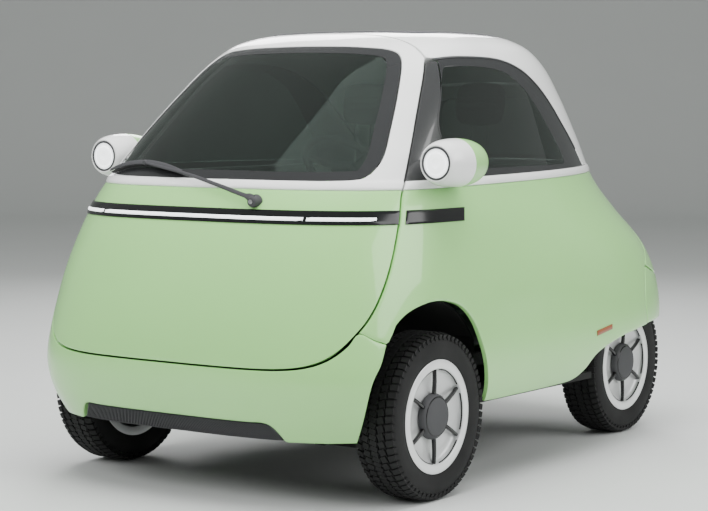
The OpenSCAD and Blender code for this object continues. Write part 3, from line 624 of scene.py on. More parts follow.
class Seams:
    """The lines along which the body is split, in millimetres."""

    BELT = 976.0
    CORNER = 555.0
    TAIL_CORNER = 640.0
    BEAD = 27.0
    DOOR_SIDE = [(-1087, 555), (-1052, 598), (-1016, 650), (-961, 739), (-902, 842), (-851, 931), (-821, 976),
                 (-721, 1098), (-615, 1224), (-514, 1336), (-478, 1375)]
    DOOR_TOP = [(0.01, -402), (110, -406), (210, -415), (300, -427), (370, -440), (415, -449), (446, -458)]
    ARCH = [(-1019, 520), (-984, 572), (-925, 611), (-840, 632), (-759, 633), (-700, 624), (-647, 608), (-600, 580),
            (-562, 543), (-535, 500), (-512, 455), (-495, 410), (-484, 365), (-477, 320), (-474, 283)]
    SILL = [(-474, 283), (-400, 280), (-200, 279), (0, 279), (128, 283), (208, 310), (299, 365), (475, 402),
            (620, 415), (765, 425)]
    REAR = [(765, 428), (757, 516), (785, 600), (835, 650), (915, 700), (925, 750), (905, 800), (880, 850),
            (850, 900), (805, 950), (762, 994)]
    RAIL = [(-440, 1392), (-362, 1400), (-280, 1402), (-198, 1402), (-130, 1400), (-71, 1395), (-20, 1387),
            (28, 1376), (85, 1359), (133, 1339), (190, 1311), (246, 1277), (302, 1236), (358, 1189), (420, 1138),
            (479, 1086), (540, 1030)]
    TAIL_SIDE = [(384, 1060), (374, 1100), (358, 1160), (338, 1220), (308, 1280), (275, 1315), (225, 1335),
                 (150, 1346), (75, 1350), (0.01, 1351)]
    DIVIDER = [(-566, 1006), (-572, 1070), (-570, 1130), (-556, 1190), (-486, 1286), (-425, 1386)]
    GLASS_SIDE = [(526, 1026), (531, 1055), (526, 1090), (508, 1146), (468, 1252), (426, 1344),
                  (405, 1378), (392, 1394)]
    GLASS_TOP = [(0.01, 1437), (95, 1436), (185, 1434), (260, 1430), (325, 1424), (367, 1412), (392, 1394)]
    GLASS_LOW = [(0.01, 1004), (175, 1003.5), (345, 1003.5), (500, 1009), (526, 1026)]
    BELT_MATCH = [(-1085, -818), (-984, -770), (-840, -690), (-600, -545), (-300, -280), (128, 115), (475, 430),
                  (765, 759)]

    @staticmethod
    def door_low(f: np.ndarray) -> np.ndarray:
        """Height of the door's lower edge across the car."""
        return 438 + 117 * np.abs(f) ** 5

    @staticmethod
    def tail_low(f: np.ndarray) -> np.ndarray:
        """Height of the tailgate's lower edge across the car."""
        return 575 + 65 * np.abs(f) ** 4

    @staticmethod
    def belt_low(y: np.ndarray) -> np.ndarray:
        """Height of the belt moulding's lower edge along the car."""
        return 976 + 20 * np.clip((np.asarray(y, float) + 821) / 1500, 0, 1)

    @classmethod
    def door_y(cls, z: np.ndarray) -> np.ndarray:
        """Where the door's side seam stands at a height."""
        return np.interp(z, *spline_table(cls.DOOR_SIDE, 1))

    @classmethod
    def rear_y(cls, z: np.ndarray) -> np.ndarray:
        """Where the rear seam stands at a height."""
        return np.interp(z, *spline_table(cls.REAR, 1))

    @classmethod
    def door_u(cls, z: np.ndarray, off: float) -> np.ndarray:
        """Angle of the door's side seam at a height, moved back by off."""
        z = np.asarray(z, float)
        return SKIN.side(np.stack([cls.door_y(z) + off, z], -1))[..., 0]

    @classmethod
    def rear_u(cls, z: np.ndarray, off: float) -> np.ndarray:
        """Angle of the rear seam at a height, moved back by off."""
        z = np.asarray(z, float)
        return SKIN.side(np.stack([cls.rear_y(z) + off, z], -1))[..., 0]


def on_skin(uv: np.ndarray) -> np.ndarray:
    """Surface points of pairs of angle and level."""
    return SKIN.point(uv[..., 0], uv[..., 1])


def spaced(edge: Points, step: float, radius: float, place: Callable = on_skin) -> np.ndarray:
    """Fractions along an edge, even in real length, with close rows at its ends.

    Args:
        edge: the edge as a list of pairs.
        step: spacing wanted in mm.
        radius: width of the rolled edge in mm, 0 for none.
        place: turns the pairs into points in space.

    Returns:
        Rising fractions from 0 to 1.
    """
    f = np.linspace(0, 1, 1201)
    p = place(smooth(edge, f))
    s = np.concatenate([[0], np.cumsum(np.linalg.norm(np.diff(p, axis=0), axis=-1))])
    n = max(2, int(round((s[-1] - 2 * radius) / step)))
    near = radius * np.array([0, 0.12, 0.35, 0.65]) if radius else np.array([])
    at = np.concatenate([near, np.linspace(radius, s[-1] - radius, n + 1), s[-1] - near[::-1]])
    return np.interp(at, s, f)


def patch(low: Points, top: Points, left: Points, right: Points, step: float = 12.0, radius: float = 3.0,
          place: Callable = on_skin) -> np.ndarray:
    """A grid between four edges, even in real length.

    Args:
        low, top, left, right: the edges as lists of pairs.
        step: spacing wanted in mm.
        radius: width of the rolled edge in mm.
        place: turns the pairs into points in space.

    Returns:
        The grid of pairs, rows first.
    """
    a, b = spaced(right, step, radius, place), spaced(low, step, radius, place)
    return coons(low, top, left, right, a, b)


def both_front(half: np.ndarray) -> np.ndarray:
    """A whole edge from its half on the car's left, across the front."""
    return np.concatenate([half[::-1] * [-1, 1], half[1:]])


def ring_half(parts: Sequence[Points], counts: Sequence[int], offset: float) -> np.ndarray:
    """A whole outline from the parts of its half on the car's left.

    Args:
        parts: lists of pairs, each smooth, that meet at corners, clockwise from outside.
        counts: number of columns for each part.
        offset: 0 where angles mirror to their negative, 360 where they mirror past the rear.

    Returns:
        Pairs of angle and level, one for each column.
    """
    there = [smooth(p, np.arange(c) / c) for p, c in zip(parts, counts)]
    back = [smooth((np.asarray(p) * [-1, 1] + [offset, 0])[::-1], np.arange(c) / c)
            for p, c in zip(parts[::-1], counts[::-1])]
    return np.concatenate(there + back)


def across(inner: np.ndarray, outer: np.ndarray, rows: int, radius: float = 3.0) -> np.ndarray:
    """A grid from an inner to an outer outline with close rows at both edges.

    Args:
        inner: pairs of the inner outline.
        outer: pairs of the outer outline.
        rows: even rows between them.
        radius: width of the rolled edge in mm.

    Returns:
        The grid of pairs, rows first.
    """
    width = np.median(np.linalg.norm(on_skin(inner) - on_skin(outer), axis=-1))
    near = radius / width * np.array([0, 0.12, 0.35, 0.65])
    f = np.concatenate([near, np.linspace(radius / width, 1 - radius / width, rows + 1), 1 - near[::-1]])
    return inner[None] + f[:, None, None] * (outer - inner)[None]


def strip_grid(path: np.ndarray, below: float, above: float, rows: int = 3) -> np.ndarray:
    """A grid that follows a path between two heights.

    Args:
        path: pairs of angle and level.
        below: how far under the path it reaches in mm.
        above: how far over the path it reaches in mm.
        rows: rows of quads.

    Returns:
        The grid of pairs, rows first.
    """
    z = SKIN.rings(path[:, 1])[:, 0]
    out = []
    for f in np.linspace(0, 1, rows + 1):
        out.append(np.stack([path[:, 0], SKIN.level(z - below + f * (below + above))], -1))
    return np.array(out)


def inner_outline(points: Points, low: float, side: float, top: float) -> np.ndarray:
    """An outline moved inwards by different widths below, beside and above.

    Args:
        points: closed list of pairs of width and height, clockwise.
        low: width of the border below in mm.
        side: width beside in mm.
        top: width above in mm.

    Returns:
        The moved points, softened at the corners.
    """
    p = np.asarray(points, float)
    d = np.roll(p, -2, 0) - np.roll(p, 2, 0)
    n = np.stack([d[:, 1], -d[:, 0]], -1)
    n /= np.maximum(np.linalg.norm(n, axis=1, keepdims=True), 1e-9)
    for _ in range(3):
        n = (np.roll(n, 1, 0) + n + np.roll(n, -1, 0)) / 3
    n /= np.maximum(np.linalg.norm(n, axis=1, keepdims=True), 1e-9)
    far = np.where(n[:, 1:] > 0, low, top)
    move = n * np.concatenate([np.full_like(far, side), far], 1)
    return p + move


# ---------------------------------------------------------------- body shells


@dataclass
class FrontDoor:
    """The front of the car, which opens as one door with the windscreen in it."""

    wall: float = 40.0
    glass: float = 5.0
    bar_z: float = 893.0
    bar_half: float = 21.0
    led_low: float = 880.0
    led_high: float = 895.0
    led_end: float = 590.0
    led_split: float = 410.0

    def lower_panel(self) -> None:
        """The painted lower panel."""
        f = np.linspace(-1, 1, 41)
        low = np.stack([f * Seams.door_u(Seams.CORNER, -3), SKIN.level(Seams.door_low(f) + 3)], -1)
        top = np.stack([f * Seams.door_u(Seams.BELT, -3), np.full(41, SKIN.level(Seams.BELT - 0.3))], -1)
        z = np.linspace(Seams.CORNER + 3, Seams.BELT - 0.3, 33)
        side = np.stack([Seams.door_u(z, -3), SKIN.level(z)], -1)
        side[0], side[-1] = low[-1], top[-1]
        grid = patch(low, top, side * [-1, 1], side, 11)
        made = shell_from("front_door_skin", grid, (0, self.wall), Finishes.GREEN)
        settle(made, Body.DOOR, "body_green", "front_door_panel")

    def outline(self) -> list[np.ndarray]:
        """The frame's outer edge on the left: top, side, lower edge."""
        top = SKIN.roof([(x, y - 3) for x, y in Seams.DOOR_TOP])
        z = np.linspace(1375, Seams.BELT + 0.3, 30)
        side = np.stack([Seams.door_u(z, -3), SKIN.level(z)], -1)
        joint = SKIN.roof([(446, -461)])[0]
        side = np.concatenate([[joint], side])
        low = np.stack([np.linspace(side[-1][0], 0, 12), np.full(12, side[-1][1])], -1)
        return [top, side, low]

    def glass_edge(self) -> list[np.ndarray]:
        """The windscreen's edge on the left: top, side, lower edge."""
        return [SKIN.front(Seams.GLASS_TOP), SKIN.front(Seams.GLASS_SIDE[::-1]), SKIN.front(Seams.GLASS_LOW[::-1])]

    def frame(self) -> None:
        """The white frame round the windscreen, with the bead along its foot."""
        counts = (44, 70, 50)
        grid = across(ring_half(self.glass_edge(), counts, 0), ring_half(self.outline(), counts, 0), 9, 4.0)

        def bead(p: np.ndarray) -> np.ndarray:
            """Height of the moulding along the belt."""
            return 4.5 * np.sqrt(np.clip(1 - ((p[..., 2] - 990) / 13) ** 2, 0, 1)) * (p[..., 1] < -600)

        made = shell_from("front_door_surround", grid, (0, self.wall), Finishes.WHITE, 4.0, True, bulge=bead)
        settle(made, Body.DOOR, "body_white", "front_door_frame")

    def windscreen(self) -> None:
        """The glass and its printed dark border."""
        counts = (44, 60, 50)
        edge = [p for p in self.glass_edge()]
        outer = ring_half(edge, counts, 0)
        mid = np.array([0, 1215])
        flat = on_skin(outer)[:, [0, 2]]
        flat = mid + 0.9955 * (flat - mid)
        inner = inner_outline(flat, 27, 36, 22)
        outer, inner = SKIN.front(flat), SKIN.front(inner)
        border = shell_from("windscreen_border", across(inner, outer, 3, 1.0), (1.2, 2.0), Finishes.FRIT, 0.6, True)
        settle(border, Body.DOOR, "glass")
        k, m = counts[0], counts[0] + counts[1]
        total = len(outer)
        right, low_right = inner[:k + 1], inner[k:m + 1]
        top = np.concatenate([inner[total - k:], right])
        side = low_right[::-1]
        low = np.concatenate([inner[m:total - m + 1]])[::-1]
        self.pane("windscreen_glass", low, top, side * [-1, 1], side)

    def pane(self, name: str, low: np.ndarray, top: np.ndarray, left: np.ndarray, right: np.ndarray) -> None:
        """The clear part of the windscreen."""
        grid = patch(low, top, left, right, 24, 0)
        made = shell_from(name, grid, (2.0, 2.0 + self.glass), Finishes.GLASS, 0.1)
        settle(made, Body.DOOR, "glass", "windscreen")

    def light_bar(self) -> None:
        """The dark bar across the door with its row of lamps."""
        edge = float(Seams.door_u(self.bar_z, -3))
        path = np.stack([np.linspace(-edge, edge, 121), np.full(121, SKIN.level(self.bar_z))], -1)
        grid = strip_grid(path, self.bar_half, self.bar_half, 8)
        bar = shell_from("front_bar_housing", grid, (-4.5, -1), Finishes.GLOSS, 2.0)
        settle(bar, Body.DOOR, "trim_black", "front_light_bar")
        parts = []
        for i, (x0, x1) in enumerate([(-self.led_end, -self.led_split - 5), (-self.led_split + 5, self.led_split - 5),
                                      (self.led_split + 5, self.led_end)]):
            xs = np.linspace(x0, x1, 40 if i == 1 else 14)
            low = SKIN.front(np.stack([xs, np.full(len(xs), (self.led_low + self.led_high) / 2)], -1))
            half = (self.led_high - self.led_low) * 0.36
            lamp = shell_from(f"front_lamp_{i}", strip_grid(low, half, half, 4), (-6.5, -4.0), Finishes.LED, 2.0)
            parts.append(lamp)
        settle(join(parts, "front_lamps"), Body.DOOR, "trim_black")

    def build(self) -> None:
        """Make every piece of the door."""
        self.lower_panel()
        self.frame()
        self.windscreen()
        self.light_bar()


def join(parts: Sequence[bpy.types.Object], name: str) -> bpy.types.Object:
    """Join several mesh objects into one.

    Args:
        parts: the objects, which go away.
        name: the joined object's name.

    Returns:
        The joined object.
    """
    made = bmesh.new()
    materials: list[bpy.types.Material] = []
    for part in parts:
        start = len(made.faces)
        made.from_mesh(part.data)
        made.faces.ensure_lookup_table()
        here = list(part.data.materials)
        for m in here:
            if m not in materials:
                materials.append(m)
        for face in made.faces[start:]:
            face.material_index = materials.index(here[min(face.material_index, len(here) - 1)])
    mesh = bpy.data.meshes.new(name)
    made.to_mesh(mesh)
    made.free()
    for m in materials:
        mesh.materials.append(m)
    obj = bpy.data.objects.new(name, mesh)
    bpy.context.scene.collection.objects.link(obj)
    for part in parts:
        old = part.data
        bpy.data.objects.remove(part)
        bpy.data.meshes.remove(old)
    return obj


@dataclass
class Bumpers:
    """The front bumper skin and the grille."""

    thick: float = 18.0
    ribs: int = 118
    low: tuple = ((0.01, 272), (150, 272), (293, 272), (372, 268), (414, 214), (530, 213))
    end: tuple = ((-1054, 213), (-1079, 307), (-1075, 400), (-1047, 459), (-1022, 518))

    def front(self) -> None:
        """The front bumper, down to its ends beside the wheels."""
        end = SKIN.side(self.end)
        crown = [smooth(self.low[:3], np.linspace(0, 1, 9)), smooth(self.low[2:5], np.linspace(0, 1, 9))[1:],
                 smooth(self.low[4:], np.linspace(0, 1, 5))[1:]]
        low = np.concatenate([SKIN.front(np.concatenate(crown)), end[:1]])
        f = np.linspace(0, 1, 17)
        along_door = np.stack([f * Seams.door_u(Seams.CORNER, 3), SKIN.level(Seams.door_low(f) - 3)], -1)
        tip = SKIN.side([(-1052, 531)])
        top = np.concatenate([along_door, tip, end[-1:]])
        grid = patch(both_front(low), both_front(top), end * [-1, 1], end, 10)
        settle(shell_from("front_bumper_skin", grid, (0, self.thick), Finishes.GREEN, 4.0), Body.CAR, "body_green",
               "front_bumper")

    def build(self) -> None:
        """Make the front bumper and the grille."""
        self.front()
        Grille(self.ribs).build()


@dataclass
class Grille:
    """The ribbed dark grille under the front bumper."""

    ribs: int = 118
    depth: float = 12.0

    def build(self) -> None:
        """The back plate and its upright ribs."""
        xs = np.linspace(-1, 1, 81)
        low = SKIN.front(np.stack([xs * 409, np.full(81, 214.5)], -1))
        top = SKIN.front(np.stack([xs * 366, np.full(81, 267.5)], -1))
        rows = np.linspace(0, 1, 5)[:, None, None]
        grid = low[None] * (1 - rows) + top[None] * rows
        plate = shell_from("grille_plate", grid, (9.0, 17.5), Finishes.BLACK, 0.5)
        settle(plate, Body.CAR, "trim_black", "grille")
        rib = []
        for f in np.linspace(-0.985, 0.985, self.ribs):
            w = 1.3
            a = SKIN.front([(f * 406 - w, 216), (f * 406, 216), (f * 406 + w, 216)])
            b = SKIN.front([(f * 364 - w, 266), (f * 364, 266), (f * 364 + w, 266)])
            rib.append(np.stack([a, b]))
        settle(ribbed("grille_ribs", rib, (5.0, 10.0), Finishes.BLACK), Body.CAR, "trim_black")


def ribbed(name: str, grids: Sequence[np.ndarray], deep: tuple[float, float], finish: Finish) -> bpy.types.Object:
    """Many small shells as one mesh.

    Args:
        name: the object's name.
        grids: a small grid of pairs for each.
        deep: depth of the outer and the inner face.
        finish: the finish to wear.

    Returns:
        The new object.
    """
    return join([shell_from(f"{name}_{i}", g, deep, finish, 0.3) for i, g in enumerate(grids)], name)


@dataclass
class BodySides:
    """The side panels and the belt mouldings above them."""

    skin: float = 14.0
    wall: float = 40.0

    def wall_at(self, p: np.ndarray) -> np.ndarray:
        """Thickness of the side wall, which is thin round the front arch."""
        d = np.hypot(p[..., 1] + 749, p[..., 2] - 266)
        return self.skin + (self.wall - self.skin) * np.clip((d - 385) / 120, 0, 1)

    def side_grid(self) -> np.ndarray:
        """The side panel's grid of pairs."""
        start = np.array([(-1084, 555.3), (-1052, 532.3), (-1019, 520)])
        parts = [smooth(start, np.linspace(0, 1, 8)), smooth(Seams.ARCH, np.linspace(0, 1, 60))[1:],
                 smooth(Seams.SILL, np.linspace(0, 1, 40))[1:]]
        low = np.concatenate(parts)
        match = np.interp(low[:, 0], *np.array(Seams.BELT_MATCH).T)
        match[:8] = np.interp(low[:8, 0], *np.array(Seams.BELT_MATCH).T)
        top = np.stack([match, Seams.belt_low(match) - 0.3], -1)
        z = np.linspace(Seams.CORNER + 0.3, Seams.BELT, 30)
        front = np.stack([Seams.door_y(z) + 3, z], -1)
        front[0], front[-1] = low[0], top[0]
        z = np.linspace(425, 993, 40)
        back = np.stack([Seams.rear_y(np.clip(z, 428, 994)) - 3, z], -1)
        back[0], back[-1] = low[-1], top[-1]
        place = lambda yz: on_skin(SKIN.side(yz))
        a, b = spaced(back, 11, 3, place), spaced(low, 11, 3, place)
        return SKIN.side(coons(low, top, front, back, a, b))

    def build(self) -> None:
        """Make both sides."""
        grid = self.side_grid()
        inner = self.wall_at(on_skin(grid))
        left = shell_from("side_skin_left", grid, (0, inner), Finishes.GREEN, 4.0)
        settle(mirror_copy(left, "side_skin_right"), Body.CAR, "body_green", "side_panel_right")
        settle(left, Body.CAR, "body_green", "side_panel_left")
        y = np.linspace(-818, 756, 121)
        y2 = np.linspace(-795, 738, 121)
        f = np.array([0, 0.04, 0.1, 0.2, 0.35, 0.5, 0.65, 0.8, 0.9, 0.96, 1])[:, None, None]
        low = SKIN.side(np.stack([y, Seams.belt_low(y) + 0.3], -1))
        top = SKIN.side(np.stack([y2, Seams.belt_low(y2) + Seams.BEAD - 0.3], -1))

        def bead(p: np.ndarray) -> np.ndarray:
            """Height of the moulding's round back."""
            mid = Seams.belt_low(p[..., 1]) + 13.5
            return 4.5 * np.sqrt(np.clip(1 - ((p[..., 2] - mid) / 13.4) ** 2, 0, 1))

        left = shell_from("belt_moulding_left", low[None] * (1 - f) + top[None] * f, (0, 29.5), Finishes.WHITE, 2.0,
                          bulge=bead)
        settle(mirror_copy(left, "belt_moulding_right"), Body.CAR, "body_white")
        settle(left, Body.CAR, "body_white")


@dataclass
class RoofShell:
    """The white roof with its square opening."""

    thick: float = 30.0
    hole: float = 322.0

    def hole_edge(self, angles: np.ndarray) -> np.ndarray:
        """The roof opening at given angles."""
        a = np.radians(angles)
        r = self.hole / (np.abs(np.cos(a)) ** 8 + np.abs(np.sin(a)) ** 8) ** (1 / 8)
        return SKIN.roof(np.stack([np.maximum(r * np.cos(a), 0.01), r * np.sin(a)], -1))

    def shell(self) -> None:
        """The roof between the opening and its rails."""
        low = float(Seams.belt_low(700)) + Seams.BEAD + 0.3
        rear_end = float(Seams.rear_y(994)) - 3 - 22
        tail = SKIN.rear([(max(x, 0.01) + (3 if x > 1 else 0), z + (2 if x > 1 else 3)) for x, z in Seams.TAIL_SIDE])
        foot_uv = SKIN.side([(rear_end, low), (670, low), (600, low), (560, low)])
        rail = SKIN.side(Seams.RAIL)[::-1]
        outer = [tail[::-1], foot_uv, rail, SKIN.roof([(x, y + 3) for x, y in Seams.DOOR_TOP])[::-1]]
        turn = [(90, 47), (47, 42), (42, -47), (-47, -90)]
        inner = [self.hole_edge(np.linspace(a, b, 24)) for a, b in turn]
        counts = (40, 12, 90, 40)
        grid = across(ring_half(inner, counts, 0), ring_half(outer, counts, 0), 26, 4.0)
        made = shell_from("roof_skin", grid, (0, self.thick), Finishes.WHITE, 4.0, True)
        settle(made, Body.CAR, "body_white", "roof")

    def build(self) -> None:
        """Make the roof."""
        self.shell()


@dataclass
class SideGlass:
    """The side windows, their dark surrounds, drip rails and the pillars ahead of them."""

    glass: float = 5.0
    clear: tuple = ((-560, 1034), (-566, 1100), (-560, 1185), (-490, 1280), (-421, 1366), (-266, 1370), (-97, 1360),
                    (-2, 1330), (73, 1286), (179, 1186), (267, 1083), (292, 1034))

    def outline(self) -> tuple[np.ndarray, ...]:
        """Edges of the whole pane in y and z: foot, top, front, back."""
        y = np.linspace(-560, 540, 60)
        foot = np.stack([y, Seams.belt_low(y) + Seams.BEAD + 0.3], -1)
        rail = np.array(Seams.RAIL)
        top = np.concatenate([[(-422, 1390)], rail[1:10] - (0, 1)])
        front = np.concatenate([foot[:1], np.array(Seams.DIVIDER[1:5]) + (6, 0), [(-422, 1390)]])
        back = np.concatenate([foot[-1:], rail[15:8:-1] - (1, 1)])
        return foot, top, front, back

    def loop(self) -> tuple[np.ndarray, np.ndarray]:
        """The pane's edge and the edge of its clear part, clockwise in y and z seen from the left."""
        foot, top, front, back = self.outline()
        n = (26, 50, 50, 30)
        f = [np.arange(k) / k for k in n]
        outer = np.concatenate([smooth(front, f[0]), smooth(top, f[1]), smooth(back[::-1], f[2]),
                                smooth(foot[::-1], f[3])])
        c = np.array(self.clear, float)
        inner = np.concatenate([smooth(c[:5], f[0]), smooth(c[4:8], f[1]), smooth(c[7:], f[2]),
                                smooth([c[-1], c[0]], f[3])])
        for _ in range(2):
            inner = (np.roll(inner, 1, 0) + 2 * inner + np.roll(inner, -1, 0)) / 4
        return inner, outer

    def build(self) -> None:
        """Make the windows and pillars of both sides."""
        inner, outer = self.loop()
        a, b = SKIN.side(inner), SKIN.side(outer)
        band = across(a, b, 6, 1.0)[:, ::-1]
        border = shell_from("side_glass_border_left", band, (1.2, 2.0), Finishes.FRIT, 0.6, True, flip=False)
        n = 26 + 50 + 50
        left, top, right, low = inner[:27], inner[26:77], inner[76:n + 1], np.concatenate([inner[n:], inner[:1]])
        grid = SKIN.side(coons(low[::-1], top, left, right[::-1], np.linspace(0, 1, 26), np.linspace(0, 1, 50)))
        pane = shell_from("side_glass_left", grid, (2.0, 2.0 + self.glass), Finishes.GLASS, 0.1)
        for piece, slot, node in ((border, "glass", ()), (pane, "glass", ("side_window",))):
            other = mirror_copy(piece, piece.name.replace("left", "right"))
            settle(other, Body.CAR, slot, *[f"{k}_right" for k in node])
            settle(piece, Body.CAR, slot, *[f"{k}_left" for k in node])
        self.pillar()
        self.rails()

    def pillar(self) -> None:
        """The glossy dark pillar between the door and the side glass, and the bar's end on the side."""
        low = float(Seams.belt_low(-790)) + Seams.BEAD + 0.3
        z = np.linspace(low, 1380, 40)
        front = np.stack([Seams.door_u(np.minimum(z, 1375), 3 + 3 * (z > 1375)), SKIN.level(z)], -1)
        d = np.array(Seams.DIVIDER, float)
        d[0, 1] = float(Seams.belt_low(d[0, 0])) + Seams.BEAD + 0.3
        d[5, 0] -= 4
        back = SKIN.side(smooth(np.minimum(d, [9999, 1388]), np.linspace(0, 1, 40)))
        f = np.array([0, 0.01, 0.03, 0.08, 0.2, 0.4, 0.6, 0.8, 0.92, 0.97, 0.99, 1])[None, :, None]
        grid = front[:, None] * (1 - f) + back[:, None] * f
        pillar = shell_from("door_pillar_left", grid, (0.5, 30), Finishes.PILLAR, 2.0)
        path = SKIN.side(np.stack([np.linspace(-852, -556, 50), np.full(50, 893.0)], -1))
        bar = shell_from("side_bar_left", strip_grid(path, 21, 21, 8), (-4.5, -1), Finishes.GLOSS, 2.0)
        settle(mirror_copy(pillar, "door_pillar_right"), Body.CAR, "matt_black", "quarter_panel_right")
        settle(mirror_copy(bar, "side_bar_right"), Body.CAR, "trim_black")
        settle(pillar, Body.CAR, "matt_black", "quarter_panel_left")
        settle(bar, Body.CAR, "trim_black")

    def rails(self) -> None:
        """The grey lip of the drip rail over each window."""
        path = smooth(np.array(Seams.RAIL[:-1], float), np.linspace(0, 1, 110))
        low, top = SKIN.side(path - (0, 4)), SKIN.side(path + (0, 1.0))
        rows = np.linspace(0, 1, 4)[:, None, None]
        grey = shell_from("rail_lip_left", low[None] * (1 - rows) + top[None] * rows, (-1.6, 1.2), Finishes.LIP, 1.0)
        settle(mirror_copy(grey, "rail_lip_right"), Body.CAR, "matt_black")
        settle(grey, Body.CAR, "matt_black")


@dataclass
class Tailgate:
    """The rear of the car: lower panel, window frame, window, lamps and bumper."""

    wall: float = 40.0
    glass: float = 5.0
    low: tuple = ((0.01, 1030), (120, 1030), (240, 1031), (310, 1036), (328, 1056))
    side: tuple = ((328, 1056), (318, 1110), (303, 1170), (281, 1230), (262, 1262))
    top: tuple = ((0.01, 1300), (80, 1299), (160, 1295), (225, 1284), (262, 1262))

    def panel(self) -> None:
        """The painted lower panel with a recess for a plate."""
        f = np.linspace(-1, 1, 41)
        low = np.stack([180 + f * (180 - Seams.rear_u(Seams.TAIL_CORNER, 3)), SKIN.level(Seams.tail_low(f) + 3)], -1)
        u = float(Seams.rear_u(990, 3))
        top = np.stack([180 + f * (180 - u), np.full(41, SKIN.level(993.7))], -1)
        z = np.linspace(Seams.TAIL_CORNER + 3, 990, 40)
        side = np.stack([Seams.rear_u(z, 3), SKIN.level(z)], -1)
        side[0], side[-1] = low[0], top[0]

        def recess(p: np.ndarray) -> np.ndarray:
            """Depth of the plate's recess."""
            x = np.clip((np.abs(p[..., 0]) - 262) / 8, 0, 1)
            z = np.clip((np.abs(p[..., 2] - 742) - 62) / 8, 0, 1)
            return -9.0 * (1 - np.maximum(x, z)) * (p[..., 1] > 0)

        made = shell_from("tailgate_skin", patch(low, top, side, side * [-1, 1] + [360, 0], 9), (0, self.wall),
                          Finishes.GREEN, bulge=recess)
        settle(made, Body.TAIL, "body_green", "tailgate_panel")
        x = np.linspace(-256, 256, 61)
        rows = np.linspace(686, 798, 9)
        grid = np.array([SKIN.rear(np.stack([x[::-1], np.full(61, z)], -1)) for z in rows])
        grid[..., 0] = np.where(grid[..., 0] < 0, grid[..., 0] + 360, grid[..., 0])
        settle(shell_from("plate", grid, (4.5, 8.5), Finishes.PLATE, 1.0), Body.TAIL, "body_white")

    def frame(self) -> None:
        """The white frame round the rear window."""
        z0 = 994.3
        u0 = float(Seams.rear_u(990, 3))
        side = SKIN.rear([(max(x, 0.01) - (3 if x > 1 else 0), z - (2 if x > 1 else 3)) for x, z in Seams.TAIL_SIDE])
        foot = np.stack([np.linspace(180, u0, 16), np.full(16, SKIN.level(z0))], -1)
        up = np.concatenate([[foot[-1]], side[:6]])
        outer = [foot, up, side[5:]]
        inner = [SKIN.rear(self.low), SKIN.rear(self.side), SKIN.rear(self.top[::-1])]
        counts = (40, 40, 40)
        grid = across(ring_half(inner, counts, 360), ring_half(outer, counts, 360), 9, 4.0)

        def bead(p: np.ndarray) -> np.ndarray:
            """Height of the moulding along the belt."""
            return 4.0 * np.sqrt(np.clip(1 - ((p[..., 2] - 1009) / 13.4) ** 2, 0, 1))

        made = shell_from("tailgate_surround", grid, (0, self.wall), Finishes.WHITE, 4.0, True, bulge=bead)
        settle(made, Body.TAIL, "body_white", "tailgate_frame")

    def window(self) -> None:
        """The rear window and its dark border."""
        counts = (40, 40, 40)
        edge = ring_half([SKIN.rear(self.low), SKIN.rear(self.side), SKIN.rear(self.top[::-1])], counts, 360)
        flat = on_skin(edge)[:, [0, 2]]
        mid = np.array([0, 1165])
        flat = mid + 0.996 * (flat - mid)
        turned = flat * [-1, 1]
        inner = inner_outline(turned, 20, 24, 20) * [-1, 1]

        def wrap(uv: np.ndarray) -> np.ndarray:
            """Keep the angles on one run past the rear."""
            uv = uv.copy()
            uv[..., 0] = np.where(uv[..., 0] < 0, uv[..., 0] + 360, uv[..., 0])
            return uv

        outer, inner_uv = wrap(SKIN.rear(flat)), wrap(SKIN.rear(inner))
        band = across(inner_uv, outer, 3, 1.0)
        border = shell_from("rear_glass_border", band, (1.2, 2.0), Finishes.FRIT, 0.6, True)
        settle(border, Body.TAIL, "glass")
        a, b, total = counts[0], counts[0] + counts[1], len(inner_uv)
        low = np.concatenate([inner_uv[total - a:], inner_uv[:a + 1]])[::-1]
        left = inner_uv[a:b + 1]
        top = inner_uv[b:total - b + 1]
        right = left * [-1, 1] + [360, 0]
        rows, columns = np.linspace(0, 1, 22), np.linspace(0, 1, 40)
        if low[0][0] > low[-1][0]:
            left, right = right, left
            top = top if top[0][0] < top[-1][0] else top[::-1]
        grid = coons(low, top, left, right, rows, columns)
        pane = shell_from("rear_glass", grid, (2.0, 2.0 + self.glass), Finishes.GLASS, 0.1)
        settle(pane, Body.TAIL, "glass", "rear_window")

    def lamps(self) -> None:
        """The rear light bar: a dark housing with a red lens."""
        edge = float(SKIN.rear([(372, 893)])[0][0])
        path = np.stack([180 + np.linspace(-1, 1, 101) * (180 - edge), np.full(101, SKIN.level(893.0))], -1)
        bar = shell_from("rear_bar_housing", strip_grid(path, 21, 21, 8), (-4.5, -1), Finishes.GLOSS, 2.0)
        settle(bar, Body.TAIL, "light_red", "rear_light_bar")
        path[:, 0] = 180 + (path[:, 0] - 180) * 0.975
        lens = shell_from("rear_lens", strip_grid(path, 11, 11, 5), (-6.5, -4.0), Finishes.RED, 2.0)
        settle(lens, Body.TAIL, "light_red")

